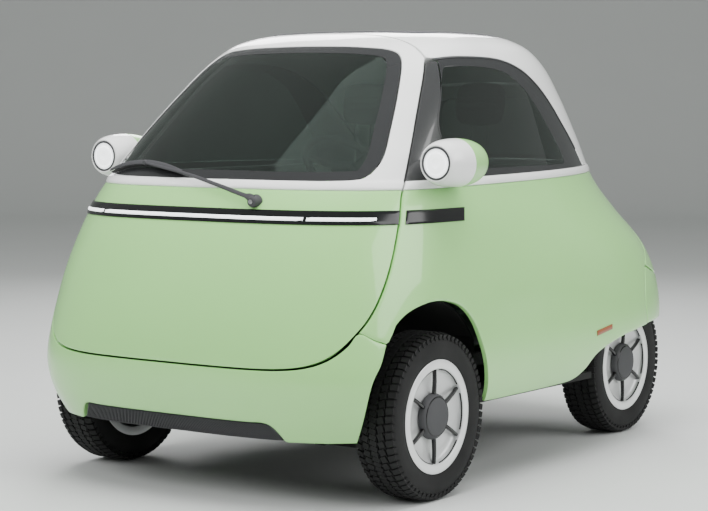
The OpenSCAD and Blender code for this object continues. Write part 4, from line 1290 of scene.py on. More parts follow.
    def bumper(self) -> None:
        """The rear bumper skin, raised beside the wheels."""
        crown = [(0.01, 340), (200, 340), (345, 343), (372, 380), (384, 432), (480, 432), (580, 430)]
        pieces = [smooth(crown[:3], np.linspace(0, 1, 12)), smooth(crown[2:5], np.linspace(0, 1, 10))[1:],
                  smooth(crown[4:], np.linspace(0, 1, 10))[1:]]
        half = SKIN.rear(np.concatenate(pieces))
        corner = np.array([[float(Seams.rear_u(428, 1.5)), float(SKIN.level(428.0))]])
        half = np.concatenate([corner, half[::-1]])
        low = np.concatenate([half, (half * [-1, 1] + [360, 0])[::-1][1:]])
        f = np.linspace(-1, 1, 33)
        edge = float(Seams.rear_u(Seams.TAIL_CORNER - 3, 1.5))
        top = np.stack([180 + f * (180 - edge), SKIN.level(Seams.tail_low(f) - 3)], -1)
        z = np.linspace(428, 637, 16)
        side = np.stack([Seams.rear_u(z, 1.5), SKIN.level(z)], -1)
        side[0], side[-1] = low[0], top[0]
        grid = patch(low, top, side, side * [-1, 1] + [360, 0], 10)
        made = shell_from("rear_bumper_skin", grid, (0, 18), Finishes.GREEN, 4.0)
        settle(made, Body.CAR, "body_green", "rear_bumper")
        path = SKIN.side([(278, 437), (340, 443.5), (403, 450)])
        mark = shell_from("side_marker_left", strip_grid(smooth(path, np.linspace(0, 1, 12)), 9, 9, 4), (-4.0, -1),
                          Finishes.AMBER, 1.5)
        both = join([mirror_copy(mark, "side_marker_right"), mark], "side_marker_lenses")
        settle(both, Body.CAR, "marker", "side_markers")

    def build(self) -> None:
        """Make every piece of the rear."""
        self.panel()
        self.frame()
        self.window()
        self.lamps()
        self.bumper()


# ---------------------------------------------------------------- turned and swept pieces


def turned(name: str, profile: Points, place: Points, axis: str, finish: Finish, n: int = 96,
           bands: Sequence[tuple[float, Finish]] = (), sharp: float = 40.0) -> bpy.types.Object:
    """A closed turned piece.

    Args:
        name: the object's name.
        profile: pairs of radius and distance along the axis in mm, from one end of the axis to the other.
        place: the centre in mm.
        axis: X or Y, the axis it is turned about.
        finish: the finish of the first faces.
        n: steps round.
        bands: from which profile index another finish starts.
        sharp: angle above which an edge stays sharp.

    Returns:
        The new object.
    """
    p = np.asarray(profile, float)
    a = np.linspace(0, 2 * math.pi, n, endpoint=False)
    first, last = p[0][0] < 1e-6, p[-1][0] < 1e-6
    body = p[(1 if first else 0):(-1 if last else len(p))]
    rings = np.stack([np.stack([np.full(n, h), r * np.cos(a), r * np.sin(a)], -1) for r, h in body])
    verts = rings.reshape(-1, 3)
    faces = grid_faces(len(body) - 1, n, 0, True)
    rows = [i for i in range(len(body) - 1) for _ in range(n)]
    closed = not first and not last
    if closed:
        faces += [[(len(body) - 1) * n + j, (len(body) - 1) * n + (j + 1) % n, (j + 1) % n, j] for j in range(n)]
        rows += [len(body) - 1] * n
    if first:
        verts = np.concatenate([verts, [[p[0][1], 0, 0]]])
        faces += [[len(verts) - 1, (j + 1) % n, j] for j in range(n)]
        rows += [-1] * n
    if last:
        verts = np.concatenate([verts, [[p[-1][1], 0, 0]]])
        k = (len(body) - 1) * n
        faces += [[len(verts) - 1, k + j, k + (j + 1) % n] for j in range(n)]
        rows += [len(body)] * n
    if axis == "Y":
        verts = verts[:, [1, 0, 2]] * [-1, 1, 1]
    obj = mesh_object(name, verts + np.asarray(place, float), faces, finish, sharp)
    for start, other in bands:
        obj.data.materials.append(other.material())
        slot = len(obj.data.materials) - 1
        for poly, row in zip(obj.data.polygons, rows):
            if row >= start:
                poly.material_index = slot
    recalc(obj)
    return obj


def recalc(obj: bpy.types.Object) -> None:
    """Merge doubles and point the faces outwards."""
    made = bmesh.new()
    made.from_mesh(obj.data)
    bmesh.ops.remove_doubles(made, verts=made.verts, dist=1e-6)
    bmesh.ops.recalc_face_normals(made, faces=made.faces)
    made.to_mesh(obj.data)
    made.free()


def box_mesh(name: str, low: Points, high: Points, finish: Finish, round_by: float = 4.0, segments: int = 3,
             matrix: Matrix | None = None) -> bpy.types.Object:
    """A box with rounded edges.

    Args:
        name: the object's name.
        low: its lowest corner in mm.
        high: its highest corner in mm.
        finish: the finish to wear.
        round_by: radius of the edges in mm.
        segments: steps round an edge.
        matrix: a placement in metres applied to the mesh.

    Returns:
        The new object.
    """
    lo, hi = Vector(low) * MM, Vector(high) * MM
    made = bmesh.new()
    bmesh.ops.create_cube(made, size=1.0)
    for v in made.verts:
        v.co = Vector((lo.x + (v.co.x + 0.5) * (hi.x - lo.x), lo.y + (v.co.y + 0.5) * (hi.y - lo.y),
                       lo.z + (v.co.z + 0.5) * (hi.z - lo.z)))
    if round_by > 0:
        bmesh.ops.bevel(made, geom=list(made.edges), offset=round_by * MM, segments=segments, profile=0.5,
                        affect="EDGES", clamp_overlap=True)
    if matrix is not None:
        bmesh.ops.transform(made, matrix=matrix, verts=made.verts)
    bmesh.ops.recalc_face_normals(made, faces=made.faces)
    mesh = bpy.data.meshes.new(name)
    made.to_mesh(mesh)
    made.free()
    mesh.polygons.foreach_set("use_smooth", [True] * len(mesh.polygons))
    mesh.set_sharp_from_angle(angle=math.radians(50))
    mesh.materials.append(finish.material())
    obj = bpy.data.objects.new(name, mesh)
    bpy.context.scene.collection.objects.link(obj)
    return obj


def swept(name: str, path: np.ndarray, section: Callable, finish: Finish, n: int = 16,
          up: Points = (0, 0, 1), sharp: float = 40.0) -> bpy.types.Object:
    """A bar swept along a path with closed ends.

    Args:
        name: the object's name.
        path: points in mm.
        section: half width and half height at a fraction of the path.
        finish: the finish to wear.
        n: steps round the section.
        up: the direction of the section's height.
        sharp: angle above which an edge stays sharp.

    Returns:
        The new object.
    """
    p = np.asarray(path, float)
    t = np.gradient(p, axis=0)
    t /= np.linalg.norm(t, axis=1, keepdims=True)
    side = np.cross(t, np.asarray(up, float))
    side /= np.linalg.norm(side, axis=1, keepdims=True)
    top = np.cross(side, t)
    verts = []
    a = np.linspace(0, 2 * math.pi, n, endpoint=False)
    c, s = np.cos(a), np.sin(a)
    c, s = np.sign(c) * np.abs(c) ** 0.6, np.sign(s) * np.abs(s) ** 0.6
    for i, (q, u, v) in enumerate(zip(p, side, top)):
        w, h = section(i / (len(p) - 1))
        verts.append(q + w * c[:, None] * u + h * s[:, None] * v)
    verts = np.concatenate(verts + [p[:1], p[-1:]])
    k = (len(p) - 1) * n
    faces = grid_faces(len(p) - 1, n, 0, True)
    faces += [[len(verts) - 2, (j + 1) % n, j] for j in range(n)]
    faces += [[len(verts) - 1, k + j, k + (j + 1) % n] for j in range(n)]
    obj = mesh_object(name, verts, faces, finish, sharp)
    recalc(obj)
    return obj


# ---------------------------------------------------------------- repeated pieces by Geometry Nodes


class RingOfBlocks:
    """A Geometry Nodes tree that sets blocks round a wheel's axis on a circle."""

    INPUTS = (("Count", "NodeSocketInt", 60), ("Radius", "NodeSocketFloat", 0.26),
              ("Length", "NodeSocketFloat", 0.01), ("Width", "NodeSocketFloat", 0.02),
              ("Height", "NodeSocketFloat", 0.01), ("Skew", "NodeSocketFloat", 0.0),
              ("Offset", "NodeSocketFloat", 0.0), ("Start", "NodeSocketFloat", 0.0), ("Tilt", "NodeSocketFloat", 0.0),
              ("Paint", "NodeSocketMaterial", None))

    def __init__(self) -> None:
        """Build the tree once."""
        tree = bpy.data.node_groups.new("ring_of_blocks", "GeometryNodeTree")
        tree.interface.new_socket("Geometry", in_out="INPUT", socket_type="NodeSocketGeometry")
        for name, kind, value in self.INPUTS:
            made = tree.interface.new_socket(name, in_out="INPUT", socket_type=kind)
            if value is not None:
                made.default_value = value
        tree.interface.new_socket("Geometry", in_out="OUTPUT", socket_type="NodeSocketGeometry")
        self.tree = tree
        given = tree.nodes.new("NodeGroupInput")
        out = tree.nodes.new("NodeGroupOutput")
        link = tree.links.new
        line = tree.nodes.new("GeometryNodeMeshLine")
        link(given.outputs["Count"], line.inputs["Count"])
        line.inputs["Offset"].default_value = (0, 0, 0)
        index = tree.nodes.new("GeometryNodeInputIndex")
        angle = self._math("DIVIDE", index.outputs[0], given.outputs["Count"])
        angle = self._math("MULTIPLY_ADD", angle, 2 * math.pi, given.outputs["Start"])
        y = self._math("MULTIPLY", self._math("COSINE", angle), given.outputs["Radius"])
        z = self._math("MULTIPLY", self._math("SINE", angle), given.outputs["Radius"])
        place = tree.nodes.new("ShaderNodeCombineXYZ")
        link(given.outputs["Offset"], place.inputs["X"])
        link(y, place.inputs["Y"])
        link(z, place.inputs["Z"])
        put = tree.nodes.new("GeometryNodeSetPosition")
        link(line.outputs["Mesh"], put.inputs["Geometry"])
        link(place.outputs[0], put.inputs["Position"])
        cube = tree.nodes.new("GeometryNodeMeshCube")
        size = tree.nodes.new("ShaderNodeCombineXYZ")
        link(given.outputs["Width"], size.inputs["X"])
        link(given.outputs["Length"], size.inputs["Y"])
        link(given.outputs["Height"], size.inputs["Z"])
        link(size.outputs[0], cube.inputs["Size"])
        lean = tree.nodes.new("GeometryNodeTransform")
        turn = tree.nodes.new("ShaderNodeCombineXYZ")
        link(given.outputs["Tilt"], turn.inputs["Y"])
        link(given.outputs["Skew"], turn.inputs["Z"])
        link(cube.outputs["Mesh"], lean.inputs["Geometry"])
        link(turn.outputs[0], lean.inputs["Rotation"])
        spin = tree.nodes.new("ShaderNodeCombineXYZ")
        link(self._math("SUBTRACT", angle, math.pi / 2), spin.inputs["X"])
        setter = tree.nodes.new("GeometryNodeInstanceOnPoints")
        link(put.outputs["Geometry"], setter.inputs["Points"])
        link(lean.outputs["Geometry"], setter.inputs["Instance"])
        link(spin.outputs[0], setter.inputs["Rotation"])
        real = tree.nodes.new("GeometryNodeRealizeInstances")
        paint = tree.nodes.new("GeometryNodeSetMaterial")
        link(setter.outputs["Instances"], real.inputs["Geometry"])
        link(real.outputs["Geometry"], paint.inputs["Geometry"])
        link(given.outputs["Paint"], paint.inputs["Material"])
        link(paint.outputs["Geometry"], out.inputs["Geometry"])

    def _math(self, kind: str, a: object, b: object = None, c: object = None) -> bpy.types.NodeSocket:
        """One Math node.

        Args:
            kind: its operation.
            a, b, c: sockets or numbers.

        Returns:
            Its output.
        """
        node = self.tree.nodes.new("ShaderNodeMath")
        node.operation = kind
        for i, v in enumerate((a, b, c)):
            if v is None:
                continue
            if isinstance(v, (int, float)):
                node.inputs[i].default_value = v
            else:
                self.tree.links.new(v, node.inputs[i])
        return node.outputs[0]

    def make(self, name: str, finish: Finish, centre: Points, **sizes: float) -> bpy.types.Object:
        """Run the tree with sizes in metres and keep its result as a plain mesh.

        Args:
            name: the object's name.
            finish: the finish of the blocks.
            centre: the wheel's centre in metres.
            **sizes: values for the tree's named inputs.

        Returns:
            The new object.
        """
        holder = bpy.data.objects.new(name + "_maker", bpy.data.meshes.new(name + "_maker"))
        bpy.context.scene.collection.objects.link(holder)
        mod = holder.modifiers.new("ring", "NODES")
        mod.node_group = self.tree
        for item in self.tree.interface.items_tree:
            if item.in_out == "INPUT" and item.name in sizes:
                mod[item.identifier] = sizes[item.name]
            if item.in_out == "INPUT" and item.name == "Paint":
                mod[item.identifier] = finish.material()
        seen = holder.evaluated_get(bpy.context.evaluated_depsgraph_get())
        mesh = bpy.data.meshes.new_from_object(seen)
        mesh.transform(Matrix.Translation(Vector(centre)))
        mesh.name = name
        bpy.data.objects.remove(holder)
        obj = bpy.data.objects.new(name, mesh)
        bpy.context.scene.collection.objects.link(obj)
        return obj


# ---------------------------------------------------------------- wheels


@dataclass
class Wheel:
    """One wheel: tyre with its tread, dished disc, six dark spokes and a cap."""

    name: str
    side: float
    centre_y: float
    half_track: float
    ring: RingOfBlocks
    axle_z: float = 266.0
    radius: float = 266.0
    half: float = 72.0

    def tyre(self) -> None:
        """The tyre: a carcass with grooves and blocks of tread."""
        r = self.radius
        prof = [(166.4, -59), (172, -61), (180, -62.5), (186, -66), (200, -70.3), (218, -72),
                (234, -70.5), (246, -66), (254, -60), (258.5, -52), (260.0, -48)]
        crown = []
        for a, b in ((-47, -40.5), (-17.5, -13), (13, 17.5), (40.5, 47)):
            crown += [(r - 4.5 if abs(a) < 30 else r - 5.5, a), (r - 9.5, a + 0.8), (r - 9.5, b - 0.8),
                      (r - 4.5 if abs(a) < 30 else r - 5.5, b)]
        prof = prof + crown + [(a, -b) for a, b in prof[::-1]]
        body = turned("tyre_carcass", prof, (0, 0, 0), "X", Finishes.TYRE, 144, sharp=60)
        ribs = []
        blocks = self.ring.make
        for s in (-1, 1):
            rows = {"shoulder": dict(Radius=0.2568, Length=0.0182, Width=0.026, Height=0.014, Skew=s * 0.16,
                                     Offset=s * 56.5 * MM, Start=0.01 * s, Tilt=s * 0.42),
                    "middle": dict(Radius=0.2608, Length=0.0200, Width=0.0225, Height=0.0096, Skew=s * 0.35,
                                   Offset=s * 29.2 * MM, Start=0.03 * s, Tilt=s * 0.03),
                    "flank": dict(Radius=0.2435, Length=0.0145, Width=0.010, Height=0.012, Skew=0.0,
                                  Offset=s * 65.6 * MM, Start=0.01 * s, Tilt=s * 0.95)}
            ribs += [blocks(row, Finishes.TYRE, (0, 0, 0), Count=66, **sizes) for row, sizes in rows.items()]
        ribs.append(blocks("centre", Finishes.TYRE, (0, 0, 0), Count=90, Radius=0.2610, Length=0.0165, Width=0.0255,
                           Height=0.0096, Skew=-0.30, Offset=0.0, Start=0.0, Tilt=0.0))
        made = join([body] + ribs, f"tyre_{self.name}_rubber")
        clamp_radius(made, (self.radius - 0.15) * MM, (self.half - 0.2) * MM)
        self.place(made)
        settle(made, f"wheel_{self.name}", "tyre", f"tyre_{self.name}")

    def place(self, obj: bpy.types.Object) -> None:
        """Turn a wheel-centred mesh to its side and move it to its place."""
        turn = Matrix.Rotation(0 if self.side > 0 else math.pi, 4, "Z")
        centre = Vector((self.side * self.half_track, self.centre_y, self.axle_z)) * MM
        obj.data.transform(Matrix.Translation(centre) @ turn)

    def rim(self) -> None:
        """The barrel, the bright outer ring and the dished disc."""
        ring = [(150, -60), (163, -66), (179, -66.5), (179, -63.2), (165.5, -63.2), (165.5, 63.2),
                (179, 63.2), (180.4, 65.4), (178.5, 67), (170, 66.6), (158, 66.8), (152.2, 66.0),
                (150.4, 63.5), (149.6, 56), (147, 47), (139, 43), (126, 39.5), (108, 37.5), (88, 37),
                (74, 37.5), (28, 38), (28, -15), (54, -15), (54, 12), (74, 26), (140, 30), (146, 34),
                (149, 28)]
        bands = [(12, Finishes.DISC), (23, Finishes.STEEL)]
        made = turned("rim_shell", ring, (0, 0, 0), "X", Finishes.RIM, 144, bands=bands, sharp=55)
        spokes = []
        for k in range(6):
            a = math.radians(90 + 60 * k)
            path = [(51 + 4 * math.sin(min(1, i / 10) * math.pi * 0.5) - 3.0 * (i / 14) ** 2, 66 + 90 * i / 14)
                    for i in range(15)]
            pts = np.array([(x, q * math.cos(a), q * math.sin(a)) for x, q in path])
            spokes.append(swept(f"spoke_{k}", pts, lambda f: (6.2 - 1.2 * f, 7.0 - 1.0 * f), Finishes.GLOSS, 14,
                                up=(1, 0, 0)))
        # painted shade: gloss-black arcs stand in for the slots between disc and ring
        slots = [self.slot(k) for k in range(6)]
        cap = [(0, 70.5), (24, 70.3), (42, 69.4), (56, 67.4), (65, 63.6), (70.5, 58), (73, 50),
               (73, 42), (70, 39), (0, 39)]
        slots.append(turned("cap", cap, (0, 0, 0), "X", Finishes.BLACK, 96, sharp=35))
        ridge = [(60.5, 66.6), (62.5, 66.4), (64.2, 64.6), (62, 64), (60, 65)]
        slots.append(turned("cap_ring", ridge, (0, 0, 0), "X", Finishes.GLOSS, 96))
        made = join([made] + spokes + slots, f"rim_{self.name}_disc")
        self.place(made)
        settle(made, f"wheel_{self.name}", "rim", f"rim_{self.name}")

    def slot(self, k: int) -> bpy.types.Object:
        """One of the thin dark arcs between disc and ring: painted shade that stands in for a slot, with no hole cut.
        """
        a = np.radians(np.linspace(97 + 60 * k, 143 + 60 * k, 20))
        pts = np.stack([np.full(20, 60.5), 149.2 * np.cos(a), 149.2 * np.sin(a)], -1)
        return swept(f"slot_{k}", pts, lambda f: (2.6, 2.2), Finishes.GLOSS, 8, up=(1, 0, 0))

    def build(self) -> None:
        """Make the wheel."""
        self.tyre()
        self.rim()


def clamp_radius(obj: bpy.types.Object, radius: float, half: float) -> None:
    """Keep a wheel-centred mesh within its radius and half width.

    Args:
        obj: the mesh object.
        radius: the largest radius in metres.
        half: the largest distance from its middle plane in metres.
    """
    for v in obj.data.vertices:
        r = math.hypot(v.co.y, v.co.z)
        if r > radius:
            v.co.y *= radius / r
            v.co.z *= radius / r
        v.co.x = max(-half, min(half, v.co.x))


class Wheels:
    """The four wheels."""

    def build(self) -> None:
        """Make them one after another."""
        ring = RingOfBlocks()
        for name, side, y, track in (("front_left", 1, -749, 626), ("front_right", -1, -749, 626),
                                     ("rear_left", 1, 814, 463), ("rear_right", -1, 814, 463)):
            Wheel(name, side, y, track, ring).build()


# ---------------------------------------------------------------- fittings


@dataclass
class MirrorPods:
    """The round pods beside the door: lamp in front, mirror at the back."""

    SHELL = ((0, -764), (52.5, -764), (52.8, -768), (56, -769.5), (60, -766), (65, -757), (70, -742),
             (73.5, -722), (75.8, -698), (76.6, -676), (77, -655), (76.2, -654.4), (76.2, -652.6),
             (77, -652), (76.6, -638), (75, -620), (73, -602), (70, -586), (66, -570), (60, -556),
             (54, -547), (50, -543), (48, -545), (47, -550), (0, -550))
    BOWL = ((0, -764.2), (46, -764.2), (46, -766.5), (38, -767.2), (37, -765.6), (34, -765.6),
            (33, -767.4), (32, -770.2), (30, -771), (15, -771), (13, -769.6), (0, -769.4))
    centre_x: float = 692.0
    centre_z: float = 1059.0

    def build(self) -> None:
        """Make the left pod and its mirror image."""
        at = (self.centre_x, 0, self.centre_z)
        bands = [(10, Finishes.GREEN), (21, Finishes.GLOSS)]
        shell = turned("pod_shell", self.SHELL, at, "Y", Finishes.WHITE, 96, bands=bands, sharp=40)
        tilt_band(shell, self.centre_x * MM, self.centre_z * MM)
        parts = [shell]
        ring = [(45.5, -764), (45.5, -769), (49, -770.6), (52.3, -769.4), (52.3, -764)]
        parts.append(turned("lens_ring", ring, at, "Y", Finishes.BLACK, 96, sharp=30))
        parts.append(turned("lens", self.BOWL[::-1], at, "Y", Finishes.LED, 64, sharp=35))
        mirror = [(0, -549.5), (46.5, -549.5), (46.5, -546.5), (0, -546.2)]
        parts.append(turned("mirror_glass", mirror, at, "Y", Finishes.CHROME, 64))
        root = SKIN.side([(-635, 1015)])[0]
        x0 = float(SKIN.point(np.array(root[0]), np.array(root[1]))[0])
        reach = self.centre_x - x0 - 20
        path = np.array([(x0 + 1 + reach * f, -650, 1030 + 14 * f * f) for f in np.linspace(0, 1, 14)])
        parts.append(swept("pod_arm", path, lambda f: (30 - 12 * f, 15 - 3 * f + 6 * f * f), Finishes.BLACK, 20))
        left = join(parts, "pod_left")
        settle(mirror_copy(left, "pod_right"), Body.CAR, "pod", "mirror_pod_right")
        settle(left, Body.CAR, "pod", "mirror_pod_left")


def tilt_band(obj: bpy.types.Object, x: float, z: float) -> None:
    """Lean the colour boundary of a pod so that the hood reaches further forward above.

    Args:
        obj: the pod's shell.
        x: the pod's centre in metres.
        z: its height in metres.
    """
    for v in obj.data.vertices:
        if -0.70 < v.co.y < -0.62:
            v.co.y -= 0.10 * (v.co.z - z) * (1 - abs(v.co.y + 0.66) / 0.04)


@dataclass
class Wiper:
    """The single wiper: pivot on the door, arm, and a hinged blade along the glass."""

    pivot: tuple[float, float] = (224.0, 938.0)
    elbow: tuple[float, float] = (-300.0, 1036.0)

    def lifted(self, xz: np.ndarray, lift: np.ndarray) -> np.ndarray:
        """Points above the skin.

        Args:
            xz: x and z of each point in mm.
            lift: height above the skin in mm.

        Returns:
            Points in mm.
        """
        uv = SKIN.front(xz)
        return on_skin(uv) + lift[:, None] * SKIN.normal(uv[:, 0], uv[:, 1])

    def build(self) -> None:
        """Make the wiper."""
        f = np.linspace(0, 1, 50)
        arm = smooth([self.pivot, (190, 944), (60, 974), (-100, 1006), self.elbow], f)
        lift = np.interp(f, [0, 0.06, 0.2, 0.8, 1], [19, 20, 22, 21, 17])
        parts = [swept("arm", self.lifted(arm, lift), lambda f: (np.interp(f, [0, .18, .24, 1], [11, 12, 7.5, 4.2]),
                       np.interp(f, [0, .2, .24, 1], [6.5, 6.0, 3.5, 2.8])), Finishes.BLACK, 16, up=(0, -1, 0.7))]
        blade = smooth([(-508, 1010), (-400, 1031), (-300, 1038), (-205, 1031), (-118, 1015)], f)
        up = (0, -0.8, 0.6)
        spine = self.lifted(blade, 14 + 3 * np.sin(np.pi * f))
        parts.append(swept("spine", spine, lambda f: (5.5 + 3.5 * np.sin(math.pi * f), 2.6), Finishes.BLACK, 12, up=up))
        rubber = self.lifted(blade * (0.985, 1) + (0, -3), np.full(50, 5.6))
        parts.append(swept("rubber", rubber, lambda f: (2.2, 5.2), Finishes.SEAL, 10, up=up))
        for k, at in enumerate((0.12, 0.33, 0.67, 0.88)):
            i = int(at * 49)
            q = self.lifted(blade[i - 1:i + 2], np.full(3, 10.5))
            claw = np.linspace(q[0], q[2], 4)
            parts.append(swept(f"claw_{k}", claw, lambda f: (6.5, 5.0), Finishes.BLACK, 10, up=up))
        uv = SKIN.front([self.pivot])
        base = on_skin(uv)[0]
        y = base[1]
        hub = [(0, y - 29), (9, y - 29), (14, y - 27), (17, y - 22), (18, y - 14), (20, y - 6), (23, y - 1),
               (23, y + 3), (0, y + 3)]
        parts.append(turned("hub", hub, (self.pivot[0], 0, self.pivot[1]), "Y", Finishes.BLACK, 48))
        nut = [(0, y - 33), (6, y - 33), (8, y - 31), (8, y - 28), (0, y - 28)]
        parts.append(turned("nut", nut, (self.pivot[0], 0, self.pivot[1]), "Y", Finishes.STEEL, 6))
        q = self.lifted(np.array([self.elbow]), np.array([17.0]))[0]
        clip = [(0, q[1] - 8), (7, q[1] - 7), (9, q[1]), (9, q[1] + 8), (0, q[1] + 8)]
        parts.append(turned("clip", clip, (q[0], 0, q[2]), "Y", Finishes.BLACK, 24))
        settle(join(parts, "wiper_assembly"), Body.DOOR, "trim_black", "wiper")


@dataclass
class FoldingTop:
    """The folding fabric panel in the roof, with its folds and edge piping."""

    half: float = 333.0
    high: float = 5.0

    def build(self) -> None:
        """Make the fabric."""
        n = 132
        k = np.linspace(-1, 1, n + 1)
        gx, gy = np.meshgrid(k, k)
        cheb = np.maximum(np.abs(gx), np.abs(gy))
        ang = np.arctan2(gy, gx)
        edge = self.half / (np.abs(np.cos(ang)) ** 8 + np.abs(np.sin(ang)) ** 8) ** (1 / 8)
        x, y = cheb * edge * np.cos(ang), cheb * edge * np.sin(ang)
        uv = SKIN.roof(np.stack([np.where(np.abs(x) < 0.01, 0.01, x), y], -1))
        z = on_skin(uv)[..., 2]
        d = (1 - cheb) * self.half
        hem = np.exp(-((d - 9) / 6) ** 2) * 1.6
        fold = 0.0
        for at in (-215, -95, 25, 145, 245):
            fold = fold + 1.8 * np.exp(-((y - at) / 8) ** 2) - 0.8 * np.exp(-((y - at - 13) / 7) ** 2)
        fold = fold * np.clip(d / 40, 0, 1)
        edge_drop = 3.6 * np.clip(1 - d / 5, 0, 1) ** 2
        top = z + np.minimum(self.high - 1.8, 2.4 + hem + fold) - edge_drop
        low = z + 0.9
        v = np.concatenate([np.stack([x, y, top], -1).reshape(-1, 3), np.stack([x, y, low], -1).reshape(-1, 3)])
        w = n + 1
        kk = w * w
        faces = grid_faces(n, n) + grid_faces(n, n, kk, False, True)
        for j in range(n):
            faces.append([j + 1, j, kk + j, kk + j + 1])
            a = n * w + j
            faces.append([a, a + 1, kk + a + 1, kk + a])
            a, b = j * w, (j + 1) * w
            faces.append([a, b, kk + b, kk + a])
            a, b = a + n, b + n
            faces.append([b, a, kk + a, kk + b])
        obj = mesh_object("folding_top", v, faces, Finishes.TOP, 50)
        recalc(obj)
        settle(obj, Body.CAR, "soft_top", "sunroof")


# ---------------------------------------------------------------- cabin


def cushion(name: str, low: Points, high: Points, finish: Finish, puff: float, round_by: float,
            matrix: Matrix | None = None, voxel: float = 0.008, cap: float = 0.016) -> bpy.types.Object:
    """A padded block, blown up as cloth.

    Args:
        name: the object's name.
        low: lowest corner in mm.
        high: highest corner in mm.
        finish: its cloth.
        puff: pressure of the filling.
        round_by: radius of the starting edges in mm.
        matrix: placement in metres.
        voxel: size of the remesh in metres.
        cap: how far a point may move in metres.

    Returns:
        The cushion.
    """
    obj = box_mesh(name, low, high, finish, round_by, 5, matrix)
    mod = obj.modifiers.new("remesh", "REMESH")
    mod.mode = "VOXEL"
    mod.voxel_size = voxel
    obj = applied(obj, name)
    start = np.array([v.co for v in obj.data.vertices])
    cloth = obj.modifiers.new("cloth", "CLOTH")
    cloth.settings.quality = 4
    cloth.settings.mass = 0.3
    cloth.settings.tension_stiffness = 12
    cloth.settings.compression_stiffness = 12
    cloth.settings.bending_stiffness = 1.2
    cloth.settings.use_pressure = True
    cloth.settings.uniform_pressure_force = puff
    cloth.settings.effector_weights.gravity = 0
    cloth.point_cache.frame_start, cloth.point_cache.frame_end = 1, 20
    for step in range(1, 17):
        bpy.context.scene.frame_set(step)
    obj = applied(obj, name)
    bpy.context.scene.frame_set(1)
    end = np.array([v.co for v in obj.data.vertices])
    move = end - start
    far = np.linalg.norm(move, axis=1, keepdims=True)
    end = start + move * np.minimum(1, cap / np.maximum(far, 1e-9))
    obj.data.vertices.foreach_set("co", end.ravel())
    smooth_mod = obj.modifiers.new("smooth", "SMOOTH")
    smooth_mod.factor, smooth_mod.iterations = 0.5, 4
    sub = obj.modifiers.new("subdivide", "SUBSURF")
    sub.levels = sub.render_levels = 1
    obj = applied(obj, name)
    obj.data.polygons.foreach_set("use_smooth", [True] * len(obj.data.polygons))
    if not obj.data.materials:
        obj.data.materials.append(finish.material())
    return obj


def applied(obj: bpy.types.Object, name: str) -> bpy.types.Object:
    """The object with its modifiers made into plain mesh.

    Args:
        obj: the object, which goes away.
        name: the new object's name.

    Returns:
        The new object.
    """
    graph = bpy.context.evaluated_depsgraph_get()
    mesh = bpy.data.meshes.new_from_object(obj.evaluated_get(graph))
    mats = list(obj.data.materials)
    old = obj.data
    bpy.data.objects.remove(obj)
    bpy.data.meshes.remove(old)
    mesh.name = name
    if not mesh.materials:
        for m in mats:
            mesh.materials.append(m)
    made = bpy.data.objects.new(name, mesh)
    bpy.context.scene.collection.objects.link(made)
    return made


def pressed(obj: bpy.types.Object, normal: Points, point: Points, lines: Sequence[tuple[Points, float]],
            depth: float, width: float) -> None:
    """Sew channels into one face of a pad.

    Args:
        obj: the pad.
        normal: the face's outward direction.
        point: a point of the pad's middle in metres.
        lines: for each channel, a direction in the face and its distance from the point.
        depth: how deep it is sewn in metres.
        width: how wide the channel is in metres.
    """
    n, c = Vector(normal), Vector(point)
    for v in obj.data.vertices:
        d = v.co - c
        if d.dot(n) < 0:
            continue
        drop = 0.0
        for way, at in lines:
            drop = max(drop, math.exp(-((d.dot(Vector(way)) - at) / width) ** 2))
        v.co -= n * depth * drop


